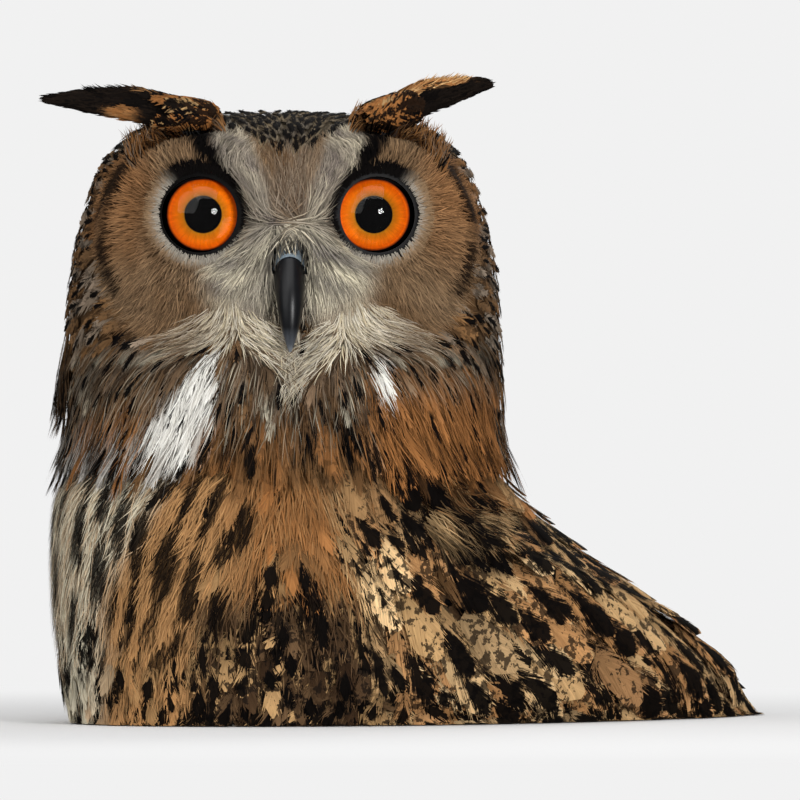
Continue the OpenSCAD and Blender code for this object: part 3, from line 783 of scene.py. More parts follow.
def down_material():
    """The downy ground under the feathers."""
    m = Nodes("down")
    fluff = m.noise(m.place(), 900, 4, 0.8)
    m.shade(Base_Color=m.toned(m.painted("Colour"), fluff, (0.3, 0.5), (0.7, 1.1)),
            Roughness=0.9, Specular_IOR_Level=0.1)
    m.bump(fluff, 0.6, 0.5 * MM)
    return m.material


def speckled_material(name, dark, light, scale, roughness, bump, metal=0.0, shine=0.4):
    """Solid stuff whose colour, gloss and surface vary a little. Its colours are three bytes each."""
    m = Nodes(name)
    grain = m.noise(m.place(), scale, 5, 0.65)
    wear = m.new("ShaderNodeMapRange")
    wear.inputs["To Min"].default_value = max(roughness - 0.08, 0)
    wear.inputs["To Max"].default_value = roughness + 0.08
    m.join(grain, wear.inputs["Value"])
    colour = m.stops(grain, (0.3, srgb(*dark)), (0.7, srgb(*light)))
    m.shade(Base_Color=colour, Roughness=wear.outputs["Result"],
            Metallic=metal, Specular_IOR_Level=shine)
    m.bump(grain, bump, 0.2 * MM)
    return m.material


def board_material():
    """The wing panels, printed in the colours of the feathers on them."""
    m = Nodes("wing_board")
    place = m.place()
    ground = m.stops(m.noise(place, 150, 4, 0.7), (0.35, UMBER * 0.35), (0.65, BROWN * 0.5))
    blots = m.fade(m.noise(place, 70, 3, 0.6), 0.46, 0.42)
    grain = m.noise(place, 900, 3, 0.7)
    m.shade(Base_Color=m.blend(blots, ground, BLACK), Roughness=0.9, Specular_IOR_Level=0.05)
    m.bump(grain, 0.5, 0.3 * MM)
    return m.material


plume = plume_material()
down = down_material()


# ---------- the head: places on it, how its feathers run, and their colours ----------

LORE = (5 * MM, -70 * MM, 197 * MM)
DISC_MIDDLE, DISC_HALF = (36 * MM, 196 * MM), (38.5 * MM, 42 * MM)
BIB_ASIDE = 3  # how far the bib's V is towards the owl's left, in mm
EYE_EDGE = 18.6  # where the hairs of the face begin, in mm from the middle of the eye


def front_view(p):
    """Where points are as seen from the front, in mm: across and up."""
    return p[..., 0] / MM, p[..., 2] / MM


def folded_view(p):
    """The same with the owl's right side folded onto its left."""
    return np.abs(p[..., 0]) / MM, p[..., 2] / MM


def oval(x, z, middle, half, soft, lean=0):
    """1 inside an oval and 0 outside it. Its axis leans towards +X by a share of each step up."""
    up = z - middle[1]
    return fall(np.hypot((x - middle[0] - lean * up) / half[0], up / half[1]), *soft)


def from_spot(p, x, y, z):
    """Distance as seen from the front, in mm, from a spot given for both sides, and the way from it."""
    spot = vector(np.where(p[..., 0] >= 0, x, -x), y, z)
    d = p - spot
    return np.hypot(d[..., 0], d[..., 2]) / MM, d


def from_eye(p):
    return from_spot(p, EYE_X, EYE_Y - 12 * MM, EYE_Z)


def from_lore(p):
    """From beside the beak's root, where the face's bristles fan out."""
    return from_spot(p, *LORE)


def disc_share(p):
    """0 at the middle of the nearer facial disc and 1 at its rim, as seen from the front."""
    x = (np.abs(p[..., 0]) - DISC_MIDDLE[0]) / DISC_HALF[0]
    z = (p[..., 2] - DISC_MIDDLE[1]) / DISC_HALF[1]
    return np.where(p[..., 1] < -15 * MM, np.hypot(x, z), 9)


def bib_share(p):
    """0 along the middle of the pale band under the face, which dips to a V under the beak."""
    x, z = np.abs(p[..., 0] / MM - BIB_ASIDE), p[..., 2] / MM
    middle = np.interp(x, [0, 8, 15, 24, 32, 42, 54], [141, 149, 156, 162, 161, 156, 148])
    half = np.interp(x, [0, 24, 40, 54], [8, 9, 7, 4])
    return np.where(p[..., 1] < -30 * MM, np.abs(z - middle) / half, 9)


def outward(p):
    """Sideways away from the middle of the face."""
    return vector(np.sign(p[..., 0]), 0, 0)


def head_flow(p):
    """Which way head feathers point: away from the eyes and the beak, then back and down the neck."""
    _, out_eye = from_eye(p)
    r_lore, out_lore = from_lore(p)
    x, z = folded_view(p)
    front = ramp(-p[..., 1], 5 * MM, 40 * MM)
    in_disc = fall(disc_share(p), 0.95, 1.1) * front
    near_lore = fall(r_lore, 22, 40) * front
    neck = fall(z, 118, 156)
    way = unit(p - np.array([0, -60 * MM, 188 * MM]))
    way = way + DOWN * (0.5 * ramp(p[..., 1], -20 * MM, 40 * MM))[..., None]
    way = mix(way, DOWN + outward(p) * (0.45 * ramp(x, 0, 60))[..., None], neck)
    way = mix(way, unit(out_eye), in_disc)
    fan = unit(out_lore) + DOWN * (0.9 * fall(r_lore, 3, 12) * fall(z, 196, 206))[..., None]
    way = mix(way, fan, np.maximum(near_lore, 0.6 * fall(z, 150, 172) * in_disc))
    in_bib = fall(bib_share(p), 1.0, 1.5) * (p[..., 1] < -30 * MM)
    parting = ramp(x, 14, 34)
    drop = DOWN * (1.25 + 0.35 * parting - 0.9 * parting ** 4)[..., None]
    arm = drop + outward(p) * (2 * parting - 1)[..., None]
    return mix(way, arm, in_bib)


def brow(p):
    """1 in the black band from the ear tuft to the inner top of the eye."""
    x, z = folded_view(p)
    r, _ = from_eye(p)
    line = 21 + (z - 212) * 0.66
    reach = 1.8 + 0.13 * np.clip(z - 212, 0, 26)
    reach = reach + 1.5 * ripple(p, 2.0 * MM, 6)
    band = fall(np.abs(x - line), reach - 2, reach + 2) * ramp(z, 205, 211)
    inward = (EYE_X / MM - x) * 0.6 + (z - EYE_Z / MM) * 0.8
    crescent = fall(r, 18.0, 20.0) * ramp(inward, 3, 11)
    return np.maximum(band, crescent) * (p[..., 1] < 0)


def beak_strip(p):
    """The strip that the beak and the mouth need."""
    x, z = folded_view(p)
    half = 4.5 + 2.5 * ramp(z, 168, 184) - 1.5 * ramp(z, 190, 197)
    return (x < half) & (z > 151) & (z < 197) & (p[..., 1] < 0)


def is_face(p):
    """The facial discs, the lores and the forehead."""
    x, z = folded_view(p)
    forehead = (x < 30) & (z > 180) & (z < 225 + 0.016 * x * x + 1.5 * np.sin(x)) & (p[..., 1] < 0)
    return (disc_share(p) < 1.02) | forehead


def face_paint(s, p, luck):
    """Facial discs, lores and forehead."""
    r, _ = from_eye(p)
    r_lore, _ = from_lore(p)
    share = disc_share(p)
    x, z = folded_view(p)
    speck = ripple(p, 5 * MM, 3)
    cloud = ripple(p, 16 * MM, 4)
    base = mix(DISC * 0.92, BROWN * 0.92, 0.35 + 0.3 * speck)
    base = mix(base, UMBER, 0.2 * fall(z, 160, 192) * ramp(x, 16, 30) * (0.7 + 0.3 * cloud))
    base = mix(base, ORANGE * 0.8, 0.45 * ramp(x, 48, 62) * ramp(z, 176, 205))
    outer = ramp(x * 0.7 - (z - EYE_Z / MM) * 0.7, 17, 30)
    base = mix(base, GREY * 0.74, 0.75 * fall(r, 18.2, 22.5) * outer)
    inner = fall(np.abs(x - 9 - 0.40 * np.maximum(z - 196, 0)), 5, 11)
    streak = 0.5 + 0.6 * ripple(p, 2.6 * MM, 7)
    base = mix(base, mix(CREAM * 0.8, GREY * 0.75, streak), 0.78 * inner * ramp(z, 184, 196))
    above = np.maximum(z - 200, 0)
    middle = fall(x, 1 + 0.16 * above, 8 + 0.26 * above) * ramp(z, 196, 210)
    base = mix(base, mix(BROWN * 0.8, GREY * 0.7, 0.5 * streak), 0.8 * middle)
    base = mix(base, UMBER, 0.6 * middle * (luck[3] > 0.6))
    cream = fall(r_lore, 26, 46) * fall(z, 188, 204) * fall(x, 26, 44)
    base = mix(base, mix(GREY * 0.8, CREAM * 0.85, 0.5 + 0.6 * ripple(p, 3 * MM, 9)), 0.95 * cream)
    whisker = (luck[3] > 0.72) * fall(r_lore, 14, 40) * (z < 202) * ramp(s, 0.2, 0.6)
    base = mix(base, DARK, 0.85 * whisker)
    beside = fall(x, 6, 13) * fall(z, 192, 198) * ramp(z, 158, 164)
    base = mix(base, BLACK, 0.9 * beside * ramp(s, 0.1, 0.5) * (luck[2] > 0.35))
    rim = ramp(share, 0.90, 0.95) * fall(share, 1.0, 1.05) * ramp(x, 22, 36) * ramp(z, 160, 170)
    base = mix(base, BLACK, rim * np.where(speck > -0.35, 0.9, 0.35))
    ripples = np.sin(2 * np.pi * ((r + 5 * s) / 2.6 + 0.35 * speck))
    bars = 0.42 * ripples * ramp(r, 19, 25) * (0.55 + 0.45 * cloud)
    base = base * (1 + bars * (1 - 0.7 * cream))[..., None]
    base = mix(base, BLACK, brow(p))
    # Each hair is darker towards its root: painted shade where hairs overlap. The luck factor is random
    # tone.
    return base * ((0.62 + 0.72 * luck[1]) * (0.66 + 0.42 * s))[..., None], marked()


def bib_paint(s, p, luck):
    x = np.abs(p[..., 0] / MM - BIB_ASIDE)
    base = mix(CREAM * 0.93, WHITE, luck[0]) * np.array([1.05, 0.98, 0.87])
    # Darker in the middle just under the beak: painted shade under the chin.
    base = base * (1 - 0.3 * fall(x, 4, 13) * fall(p[..., 2] / MM, 150, 160))[..., None]
    base = mix(base, BROWN, ramp(x, 26, 48) * (0.5 + 0.5 * luck[2]))
    base = mix(base, UMBER, (luck[3] > 0.88) * ramp(s, 0.2, 0.6))
    # Each hair is darker towards its root: painted shade where hairs overlap. The luck factor is random
    # tone.
    return base * ((0.66 + 0.42 * luck[1]) * (0.68 + 0.36 * s))[..., None], marked()


def crown_paint(s, p, luck):
    """Crown, cheeks and the back of the head."""
    x, z = front_view(p)
    speck = ripple(p, 9 * MM, 5)
    top = ramp(z, 224, 232)
    base = mix(TAWNY * 0.7, BROWN * 0.85, 0.5 + 0.5 * speck)
    base = mix(base, mix(SAND * 0.38, GREY * 0.36, luck[0]), 0.85 * top)
    base = mix(base, GREY * 0.85, 0.5 * (luck[3] > 0.6) * (1 - top))
    rim = fall(disc_share(p), 1.05, 1.14) * ramp(np.abs(x), 40, 50)
    base = mix(base, ORANGE * 0.8, 0.7 * rim * ramp(z, 180, 200))
    spot = oval(np.abs(x), z, (68, 147), (5, 12), (0.7, 1.2)) * (p[..., 1] < 15 * MM)
    base = mix(base, BLACK, spot * (luck[1] > 0.25))
    base = mix(base, BLACK, brow(p))
    mark = (luck[2] > 0.4 - 0.4 * top) * (0.5 + 0.35 * luck[0]) * (0.7 + 0.7 * top)
    # Each feather is darker towards its root: painted shade under the feathers that overlap it. The luck
    # factor is random tone.
    shade = (0.72 + 0.45 * luck[1]) * (0.7 + 0.35 * s)
    return base * shade[..., None], marked(mark * (1 - brow(p)), 0.6)


def is_crown(p):
    low_front = (p[..., 2] < 152 * MM) & (p[..., 1] < -30 * MM)
    high = p[..., 2] > NECK_Z + 12 * MM
    return ~is_face(p) & ~beak_strip(p) & ~low_front & high & (bib_share(p) > 0.9)


def crown_fineness(p):
    """1 on the crown's front, where feathers are small, and 0 at the back of the head."""
    return np.maximum(ramp(-p[..., 1] / MM, 0, 40) * ramp(p[..., 2] / MM, 200, 225),
                      0.5 * ramp(-p[..., 1] / MM, 10, 40))


def ruff_hem(p):
    """1 at the ruff's lower front, which has the breast's colours."""
    return fall(p[..., 2] / MM, 104, 118) * (p[..., 1] < 0)


def ruff_paint(s, p, luck):
    """The ruff round the neck, with its white patches."""
    x, z = front_view(p)
    front = p[..., 1] < 0
    speck = ripple(p, 9 * MM, 8)
    base = mix(BROWN * 0.85, TAWNY * 0.75, 0.4 + 0.5 * speck)
    base = mix(base, GREY * 0.62, 0.5 * luck[0] * ramp(z, 112, 124) * front)
    warm = ramp(x, 26, 40) * fall(z, 124, 140) * front
    warm_right = oval(x, z, (-72, 112), (16, 9), (0.6, 1.2)) * front
    base = mix(base, ORANGE * 0.95, 0.85 * np.maximum(warm, 0.8 * warm_right))
    base = mix(base, BROWN * 0.6, 0.6 * ramp(x, 76, 88) * warm * (luck[0] > 0.4))
    hem = ruff_hem(p) * (1 - warm)
    base = mix(base, mix(TAWNY * 0.65, ORANGE * 0.7, luck[1]), 0.8 * hem)
    base = mix(base, WHITE * 0.75, 0.8 * hem * ramp(-x, 46, 58) * (luck[3] > 0.4))
    collar = fall(np.abs(x), 30, 50) * front * (1 - warm)
    pale = (luck[3] > 0.7) * (1 - warm) * (0.5 + 0.4 * collar) * (1 - hem)
    base = mix(base, CREAM * 0.6, pale * ramp(s, 0.1, 0.7))
    wide = np.clip(6 + 0.36 * (138 - z), 4, 15)
    patch = fall(np.hypot((x + 43 - 0.42 * (z - 118)) / wide, (z - 120) / 24), 0.75, 1.1) * front
    small = oval(x, z, (38, 134), (3.5, 10), (0.7, 1.2)) * front
    white = np.maximum(patch, small) * (0.9 + 0.1 * luck[3])
    base = mix(base, WHITE, white)
    base = mix(base, BLACK, throat_blots(p) * (luck[1] > 0.15))
    dark = (luck[2] > 0.42) * (0.45 + 0.4 * luck[0]) * (1 - 0.85 * white) * (1 - 0.3 * warm)
    dark = np.maximum(dark * (1 - hem), 0.9 * streak_share(p) * hem * (1 - white))
    # Each feather is darker towards its root: painted shade under the feathers that overlap it, kept light
    # on the white patches. The luck factor is random tone.
    shade = (0.7 + 0.42 * luck[1]) * (0.6 + 0.45 * s)
    shade = mix(shade[..., None], np.ones(1), 0.8 * white)
    return base * shade, marked(dark, 0.45 * (1 - white) * (1 - warm))


def throat_blots(p):
    """Two black blotches low in the middle of the throat."""
    x, z = front_view(p)
    near = oval(x, z, (7, 106), (4, 11), (0.7, 1.15), -0.15)
    far = oval(x, z, (24, 110), (5, 9), (0.7, 1.15))
    return np.maximum(near, far) * (p[..., 1] < 0)


def ruff_hair_paint(s, p, luck):
    colour, _ = ruff_paint(s, p, luck)
    streak = ripple(p * [1, 1, 0.5], 1.9 * MM, 37)
    hem = ruff_hem(p)
    dark = ramp(streak, 0.1, 0.5) * ramp(s, 0.2, 0.6) * (1 - hem) + 1.1 * hem * streak_share(p)
    bright = ramp(colour.max(axis=-1), 0.5, 0.8)
    return mix(colour, BLACK, 0.85 * dark * (1 - bright)), marked()


def is_ruff(p):
    cheek = (p[..., 2] > NECK_Z + 16 * MM) & (p[..., 1] > -30 * MM)
    low = (p[..., 2] < 154 * MM) & (p[..., 2] > NECK_Z + 1 * MM)
    return (disc_share(p) > 1.0) & (bib_share(p) > 0.7) & low & ~cheek & ~beak_strip(p)


def head_paint(s, p, luck):
    """Colours of the ground under the head's feathers."""
    face = is_face(p) * 1.0
    bib = fall(bib_share(p), 0.9, 1.2)
    colour = mix(crown_paint(s, p, luck)[0], ruff_paint(s, p, luck)[0], is_ruff(p) * 1.0)
    colour = mix(colour, face_paint(s, p, luck)[0] * 1.2, face)
    return mix(colour, CREAM * 0.8, bib), marked()


def face_size(p):
    r, _ = from_eye(p)
    r_lore, _ = from_lore(p)
    near_beak = fall(r_lore, 16, 36)
    return (4.5 + 4 * ramp(r, 19, 34) + 6 * near_beak) * MM, (0.32 + 0.08 * ramp(r, 22, 34)) * MM


def is_open_face(p):
    """The face outside the eyes and the beak."""
    return is_face(p) & (from_eye(p)[0] > EYE_EDGE) & ~beak_strip(p)


def is_bib(p):
    return (bib_share(p) < 1.0) & (np.abs(p[..., 0] / MM - BIB_ASIDE) < 52) & ~beak_strip(p)


def build_face():
    face = Plumage()
    places = draw(head_skin, is_open_face, tries=170000, seed=11)
    quills = quills_on(
        head_skin, places, head_flow, face_size, seed=12, swerve=0.2, stations=3, spread=0.3)
    hairs(face, quills, face_paint, lift=1.2 * MM, base=0.3 * MM, seed=13)
    places = draw(head_skin, is_bib, tries=150000, seed=15)
    size = lambda p: (11 * MM, 0.36 * MM)
    quills = quills_on(head_skin, places, head_flow, size, seed=16, swerve=0.16, stations=4, spread=0.35)
    hairs(face, quills, bib_paint, lift=2.6 * MM, base=0.5 * MM, seed=17)
    face.build("face_bristles", "head", "pale_face", "left_facial_disc", "right_facial_disc")


def build_crown():
    crown = Plumage()
    gap = lambda p: (6.4 - 3.0 * crown_fineness(p)) * MM
    size = lambda p: ((17 - 7.5 * crown_fineness(p)) * MM, (7 - 3.4 * crown_fineness(p)) * MM)
    places = scatter(head_skin, gap, is_crown, tries=60000, seed=21)
    quills = quills_on(head_skin, places, head_flow, size, seed=22, stations=4)
    feathers(crown, quills, crown_paint, barbs=10, lift=1.3 * MM, sheet_width=0.6, ragged=0.35, seed=23)
    crown.build("crown_feathers", "head", "feather_coat", "head_coat")


def ruff_size(p):
    """Ruff feathers hang a little past the neck ring, some further than others."""
    hang = (5 + 9 * np.clip(ripple(p, 4 * MM, 39), 0, 1)) * MM
    length = np.clip((p[..., 2] - NECK_Z + hang) * 1.1, 8 * MM, 26 * MM)
    return length - 8 * MM * ramp(p[..., 2] / MM, 116, 140), 5.2 * MM


def ruff_hair_size(p):
    return 0.8 * ruff_size(p)[0], 0.40 * MM


def ruff_lift(quills):
    """A share of the lift: ruff feathers lie closer near the neck ring."""
    return 0.35 + 0.65 * ramp(quills.root[:, 2:] / MM, NECK_Z / MM + 6, NECK_Z / MM + 24)


def add_cheek_lock(plumage):
    """Long feathers that hang loose from the owl's right cheek."""
    rng = np.random.default_rng(37)
    count = 30
    places = (rng.uniform(-101, -78, count), rng.uniform(-27, -9, count))
    size = lambda p: (np.clip(p[..., 2] - 116 * MM, 18 * MM, 44 * MM), 7 * MM)
    quills = quills_on(head_skin, places, lambda p: DOWN, size, seed=38, swerve=0.05)
    feathers(plumage, quills, crown_paint, barbs=28, sheet=(6, 2), lift=5 * MM, base=0.6 * MM, lean=0.25,
             sheet_width=0.4, ragged=0.5, seed=39)


def build_ruff():
    ruff = Plumage()
    places = scatter(head_skin, lambda p: 5.4 * MM, is_ruff, tries=60000, seed=31)
    quills = quills_on(head_skin, places, head_flow, ruff_size, seed=32, spread=0.3)
    feathers(ruff, quills, ruff_paint, barbs=18, sheet=(5, 2), lift=1.6 * MM * ruff_lift(quills), lean=0.2,
             inner=0.0, sheet_width=0.45, ragged=0.45, seed=33)
    places = draw(head_skin, lambda p: is_ruff(p) & (p[..., 2] > NECK_Z + 3 * MM), tries=38000, seed=34)
    quills = quills_on(
        head_skin, places, head_flow, ruff_hair_size, seed=35, swerve=0.14, stations=4, spread=0.3)
    hairs(ruff, quills, ruff_hair_paint, lift=2.0 * MM * ruff_lift(quills), base=0.8 * MM, curl=0.2,
          seed=36)
    add_cheek_lock(ruff)
    ruff.build("ruff_feathers", "head", "feather_coat", "neck_ruff")


# ---------- the body ----------

def fan_slope(x):
    """How far breast feathers lean outwards for each step down, for x in mm."""
    return 0.55 * np.sin(np.pi * np.clip(x / 95, -1, 1))


def body_flow(p):
    """Down and out from the chin on the breast, and back and down along the sides and the back."""
    q = turned(p, -BODY_TURN)
    back = ramp(q[..., 1] / MM, -45, 60)
    across = p[..., 0] / MM
    fan = vector(fan_slope(across) * ramp(p[..., 2] / MM, 15, 75), 0, -1)
    rear = turned(np.array([0, 1, -0.62]), BODY_TURN)
    return mix(fan, rear, back)


def streak_share(p):
    """1 in the bold black streaks of the breast and flanks: staggered rows, few in the upper middle."""
    x, z = front_view(p)
    x = x - 0.9 * np.maximum(p[..., 1] / MM + 30, 0) * ramp(-x, 60, 80)
    column = (x - 0.6 * fan_slope(x) * (98 - z)) / 10.5 + 0.3 * ripple(p * [1, 1, 0.3], 9 * MM, 50)
    number = np.floor(column)
    row = z / 31 + 0.37 * number + 0.2 * np.sin(7 * number)
    along = row - np.floor(row) - 0.5
    luck = np.modf(np.abs(np.sin(12.7 * number + 31.1 * np.floor(row))) * 43)[0]
    half = (0.15 + 0.27 * luck) * np.sqrt(np.clip(1 - (along / 0.47) ** 2, 0, 1))
    torn = 0.05 * ripple(p * [1, 1, 0.3], 1.5 * MM, 52)
    middle = fall(np.abs(x - 5), 13, 24) * ramp(z, 52, 66)
    return ramp(half - np.abs(column - number - 0.5) + torn - 0.26 * middle, -0.04, 0.05)


def breast_paint(s, p, luck):
    """Tawny with bold black shaft streaks, and whitish on the right flank."""
    x, z = front_view(p)
    base = mix(TAWNY * 0.7, ORANGE * 0.8, luck[1])
    base = mix(base, mix(TAWNY, BUFF, 0.35) * 1.15, 0.6 * ramp(-x, 8, 36))
    base = mix(base, BUFF * 0.8, 0.5 * (luck[2] > 0.7) * fall(s, 0.6, 0.95))
    inner_edge = np.minimum(52 + 0.55 * np.maximum(88 - z, 0), 72)
    pale = ramp(-x - inner_edge, -6, 8)
    base = mix(base, CREAM * 0.95, pale * (0.5 + 0.5 * (luck[2] > 0.25)))
    return base, marked(0.85 * streak_share(p))


def belly_paint(s, p, luck):
    """The dark, finely mottled feathers low on the breast."""
    base = mix(UMBER * 0.8, BROWN * 0.8, luck[1])
    base = mix(base, BUFF, 0.65 * (luck[2] > 0.68))
    return base, marked((luck[0] > 0.25) * 0.7, 1.0)


def back_paint(s, p, luck):
    """Buff, wormed with dark, with a black blotch along the shaft."""
    base = mix(BUFF, mix(SAND, BUFF, 0.5) * 0.95, luck[1])
    base = mix(base, ORANGE * 1.1, 0.6 * (luck[2] > 0.55))
    base = mix(base, UMBER, 0.4 * (luck[3] > 0.88))
    x, z = front_view(p)
    collar = ramp(z, 60, 72) * fall(x, 52, 60) * (p[..., 1] < 0)
    base = mix(base, TAWNY * 0.7, 0.6 * collar)
    blots = shoulder_blots(p)
    base = mix(base, BLACK, 0.93 * blots)
    corner = oval(x, z, (36, 50), (15, 20), (0.7, 1.1), -0.2) * (p[..., 1] < 0)
    mark = (luck[0] > 0.18) * (0.5 + 0.28 * luck[3]) * (1 - 0.75 * corner)
    return base * (1 + 0.2 * corner)[..., None], marked(np.maximum(mark, blots), 0.95)


def shawl_paint(s, p, luck):
    """The owl's left neck: orange brown with thin dark streaks, and black blotches at the shoulder."""
    base = mix(TAWNY * 0.9, ORANGE, luck[2])
    blotch = shoulder_blots(p)
    base = mix(base * 0.8, BLACK, 0.8 * blotch)
    return base, marked(np.maximum(0.3 * (luck[0] > 0.3), 1.1 * blotch), 0.3)


def shoulder_blots(p):
    """Black at the shoulder: a blotch beside the breast, and a band from it down the wing's top."""
    x, z = front_view(p)
    spot = oval(x, z, (45, 85), (6, 10), (0.75, 1.1), -0.4)
    off, along = z - 87 + 1.45 * (x - 58), x - 58 - 0.69 * (z - 87)
    beyond = np.maximum(np.abs(along - 20) - 26, 0)
    band = fall(np.hypot(beyond / 8, off / 21), 0.6, 1.1)
    beyond = np.maximum(np.abs(x - 92) - 18, 0)
    top = fall(np.hypot(beyond / 6, (z - 80 + 0.62 * (x - 84)) / 5), 0.6, 1.2)
    broken = np.clip(0.98 + 0.35 * ripple(p, 4 * MM, 57), 0, 1)
    return np.maximum(spot, np.maximum(0.95 * band, 0.75 * top) * broken) * (p[..., 1] < 40 * MM)


def body_paint(s, p, luck):
    q = turned(p, -BODY_TURN)
    x, z = front_view(p)
    x, z = x + 5 * (luck[3] - 0.5), z + 8 * (luck[2] - 0.5)
    front = p[..., 1] < 0
    edge = x - 18 - (74 - z) * 0.32
    back = np.maximum(ramp(q[..., 1] / MM, -12, 12), ramp(edge, -3, 3) * front)
    low = fall(z, 44, 52) * ramp(x, -42, -34) * fall(edge, -4, 2) * front
    shawl = ramp(z - 78 - 0.08 * (x - 27), -4, 4) * ramp(x, 22, 34) * (p[..., 1] < 40 * MM)
    colour, marks = breast_paint(s, p, luck)
    for share, paint in ((back, back_paint), (low, belly_paint), (shawl, shawl_paint)):
        other, other_marks = paint(s, p, luck)
        colour, marks = mix(colour, other, share), mix(marks, other_marks, share)
    # Each feather is darker towards its root: painted shade under the feathers that overlap it. The luck
    # factor is random tone.
    shade = (0.76 + 0.38 * luck[1]) * (0.62 + 0.42 * ramp(s, 0, 0.6))
    return colour * shade[..., None], marks


def is_breast(p):
    q = turned(p, -BODY_TURN)
    top = 44 + 20 * ramp(p[..., 0] / MM, -30, -5)
    belly = (p[..., 2] < top * MM) & (p[..., 0] > -36 * MM) & (np.sin(1e5 * p[..., 0]) > -0.7)
    collar = (p[..., 2] > 82 * MM) & (p[..., 1] < 30 * MM)
    return ((back_share(p) < 0.3) | collar) & (p[..., 2] > 8 * MM) & (q[..., 1] < 20 * MM) & ~belly


def is_hem(p):
    """A band in front, just above the base, where longer feathers would leave gaps."""
    return (p[..., 2] > 9 * MM) & (p[..., 2] < 28 * MM) & (p[..., 1] < 10 * MM)


def breast_hair_paint(s, p, luck):
    """Soft hairs over the breast: its ground colours, and black where streaks run."""
    calm = [luck[0], 0.3 + 0.4 * luck[1], 0.6 * luck[2], luck[3]]
    colour, _ = body_paint(s, p, calm)
    colour = mix(colour, BUFF, 0.15 * (luck[3] > 0.8))
    return mix(colour, BLACK, 0.97 * streak_share(p) * ramp(s, -0.2, 0.2)), marked()


def back_share(p):
    """0 on the breast, where feathers are narrow, and 1 on the back and the wings."""
    q = turned(p, -BODY_TURN)
    x, z = front_view(p)
    beside_breast = ramp(x - 27 - (60 - z) * 0.32, -4, 8) * (p[..., 1] < 0)
    return np.maximum(ramp(q[..., 1] / MM, -30, 5), beside_breast)


def body_size(p):
    back, high = back_share(p), ramp(p[..., 2] / MM, 70, 96)
    foot = 0.6 + 0.4 * ramp(p[..., 2] / MM, 4, 22)
    return (34 - 12 * high + 2 * back) * foot * MM, (10 + 8 * back - 3 * high - 4 * high * back) * MM


def body_gap(p):
    return (10 + 2.6 * back_share(p) - 3.6 * ramp(p[..., 2] / MM, 70, 96)) * MM


def rides_on(a, h):
    """Which body each feather belongs to: a wing, also just above its upper edge, or the body."""
    names = np.full(len(a), "body", dtype=object)
    for drop in (0, 6 * MM, 12 * MM):
        here = body_skin.node_at(a, h - drop)
        for side in SIDES:
            names[(here == side + "_wing") & (names == "body")] = side + "_wing"
    return names


def at_wing_edge(a, h, body):
    """Places on a wing that are just inside its front and lower edges."""
    inner = body_skin.node_at(a, h) == body
    forward = -4 if body == "left_wing" else 4
    ahead, beneath = body_skin.node_at(a + forward, h), body_skin.node_at(a, h - 7 * MM)
    return inner & ((ahead != body) | (beneath != body))


def edge_flow(p):
    """Over a folded wing's front edge, so that its panel can't be seen."""
    forward = turned(np.array([0, -1.0, 0]), BODY_TURN)
    return unit(body_flow(p) + 0.7 * forward)


def near_hinge(p):
    """Just above a wing's pin, where feathers of the body hide the hinge."""
    near = np.zeros(p.shape[:-1], bool)
    for side in SIDES:
        d = (p - np.array(JOINT[side + "_wing_lift"]["pos_m"])) / MM
        near |= (np.linalg.norm(d, axis=-1) < 24) & (d[..., 2] > -2) & (d[..., 2] < 17)
    return near


def on_body(a, h, body):
    """The places whose feathers ride one of the bodies."""
    own = rides_on(a, h) == body
    return a[own], h[own]


def add_contour_feathers(plumage, places, number):
    """The large feathers: narrow and soft on the breast, broad and smooth on the back and wings."""
    back = back_share(body_skin.point(*places))
    swerve = 0.14 - 0.08 * back
    quills = quills_on(body_skin, places, body_flow, body_size, seed=42 + number, swerve=swerve)
    back = back[:, None]
    feathers(plumage, quills, body_paint, barbs=26, sheet=(6, 4), lift=(1.7 + 1.0 * back) * MM,
             base=(0.5 + 1.8 * back) * MM, sheet_width=0.7 + 0.08 * back, shoulder=0.55 + 0.2 * back,
             seed=45 + number)


def add_wing_edges(plumage, body):
    """Small feathers over a folded wing's front and lower edges, and above its upper edge."""
    size = lambda p: (17 * MM, 8 * MM)
    a, h, _ = draw(body_skin, lambda p: p[..., 2] > 5 * MM, tries=14000, seed=55)
    edge = at_wing_edge(a, h, body)
    quills = quills_on(body_skin, (a[edge], h[edge]), edge_flow, size, seed=56, swerve=0.3)
    feathers(plumage, quills, body_paint, lift=1.2 * MM, sheet_width=0.6, seed=57)
    a, h = scatter(body_skin, lambda p: 3.6 * MM, lambda p: p[..., 2] > 20 * MM, tries=26000, seed=54)
    above = (rides_on(a, h) == body) & (body_skin.node_at(a, h) != body)
    quills = quills_on(body_skin, (a[above], h[above]), body_flow, size, seed=58, swerve=0.25)
    feathers(plumage, quills, body_paint, lift=1.6 * MM, base=2 * MM, sheet_width=0.6, seed=59)


def add_hem(plumage, body):
    """Short feathers that fill in just above the base."""
    places = on_body(*scatter(body_skin, lambda p: 5 * MM, is_hem, tries=30000, seed=61), body)
    if len(places[0]):
        quills = quills_on(body_skin, places, body_flow, lambda p: (15 * MM, 8 * MM), seed=62, swerve=0.25)
        feathers(plumage, quills, body_paint, lift=1.2 * MM, base=1.6 * MM, sheet_width=0.7, seed=63)


def add_breast_hairs(plumage, body):
    places = on_body(*draw(body_skin, is_breast, tries=32000, seed=51)[:2], body)
    if len(places[0]):
        size = lambda p: ((7 + 9 * ramp(p[..., 2] / MM, 36, 62)) * MM, 0.5 * MM)
        quills = quills_on(
            body_skin, places, body_flow, size, seed=52, swerve=0.2, stations=4, spread=0.35)
        hairs(plumage, quills, breast_hair_paint, lift=2.0 * MM, base=1.3 * MM, seed=53)


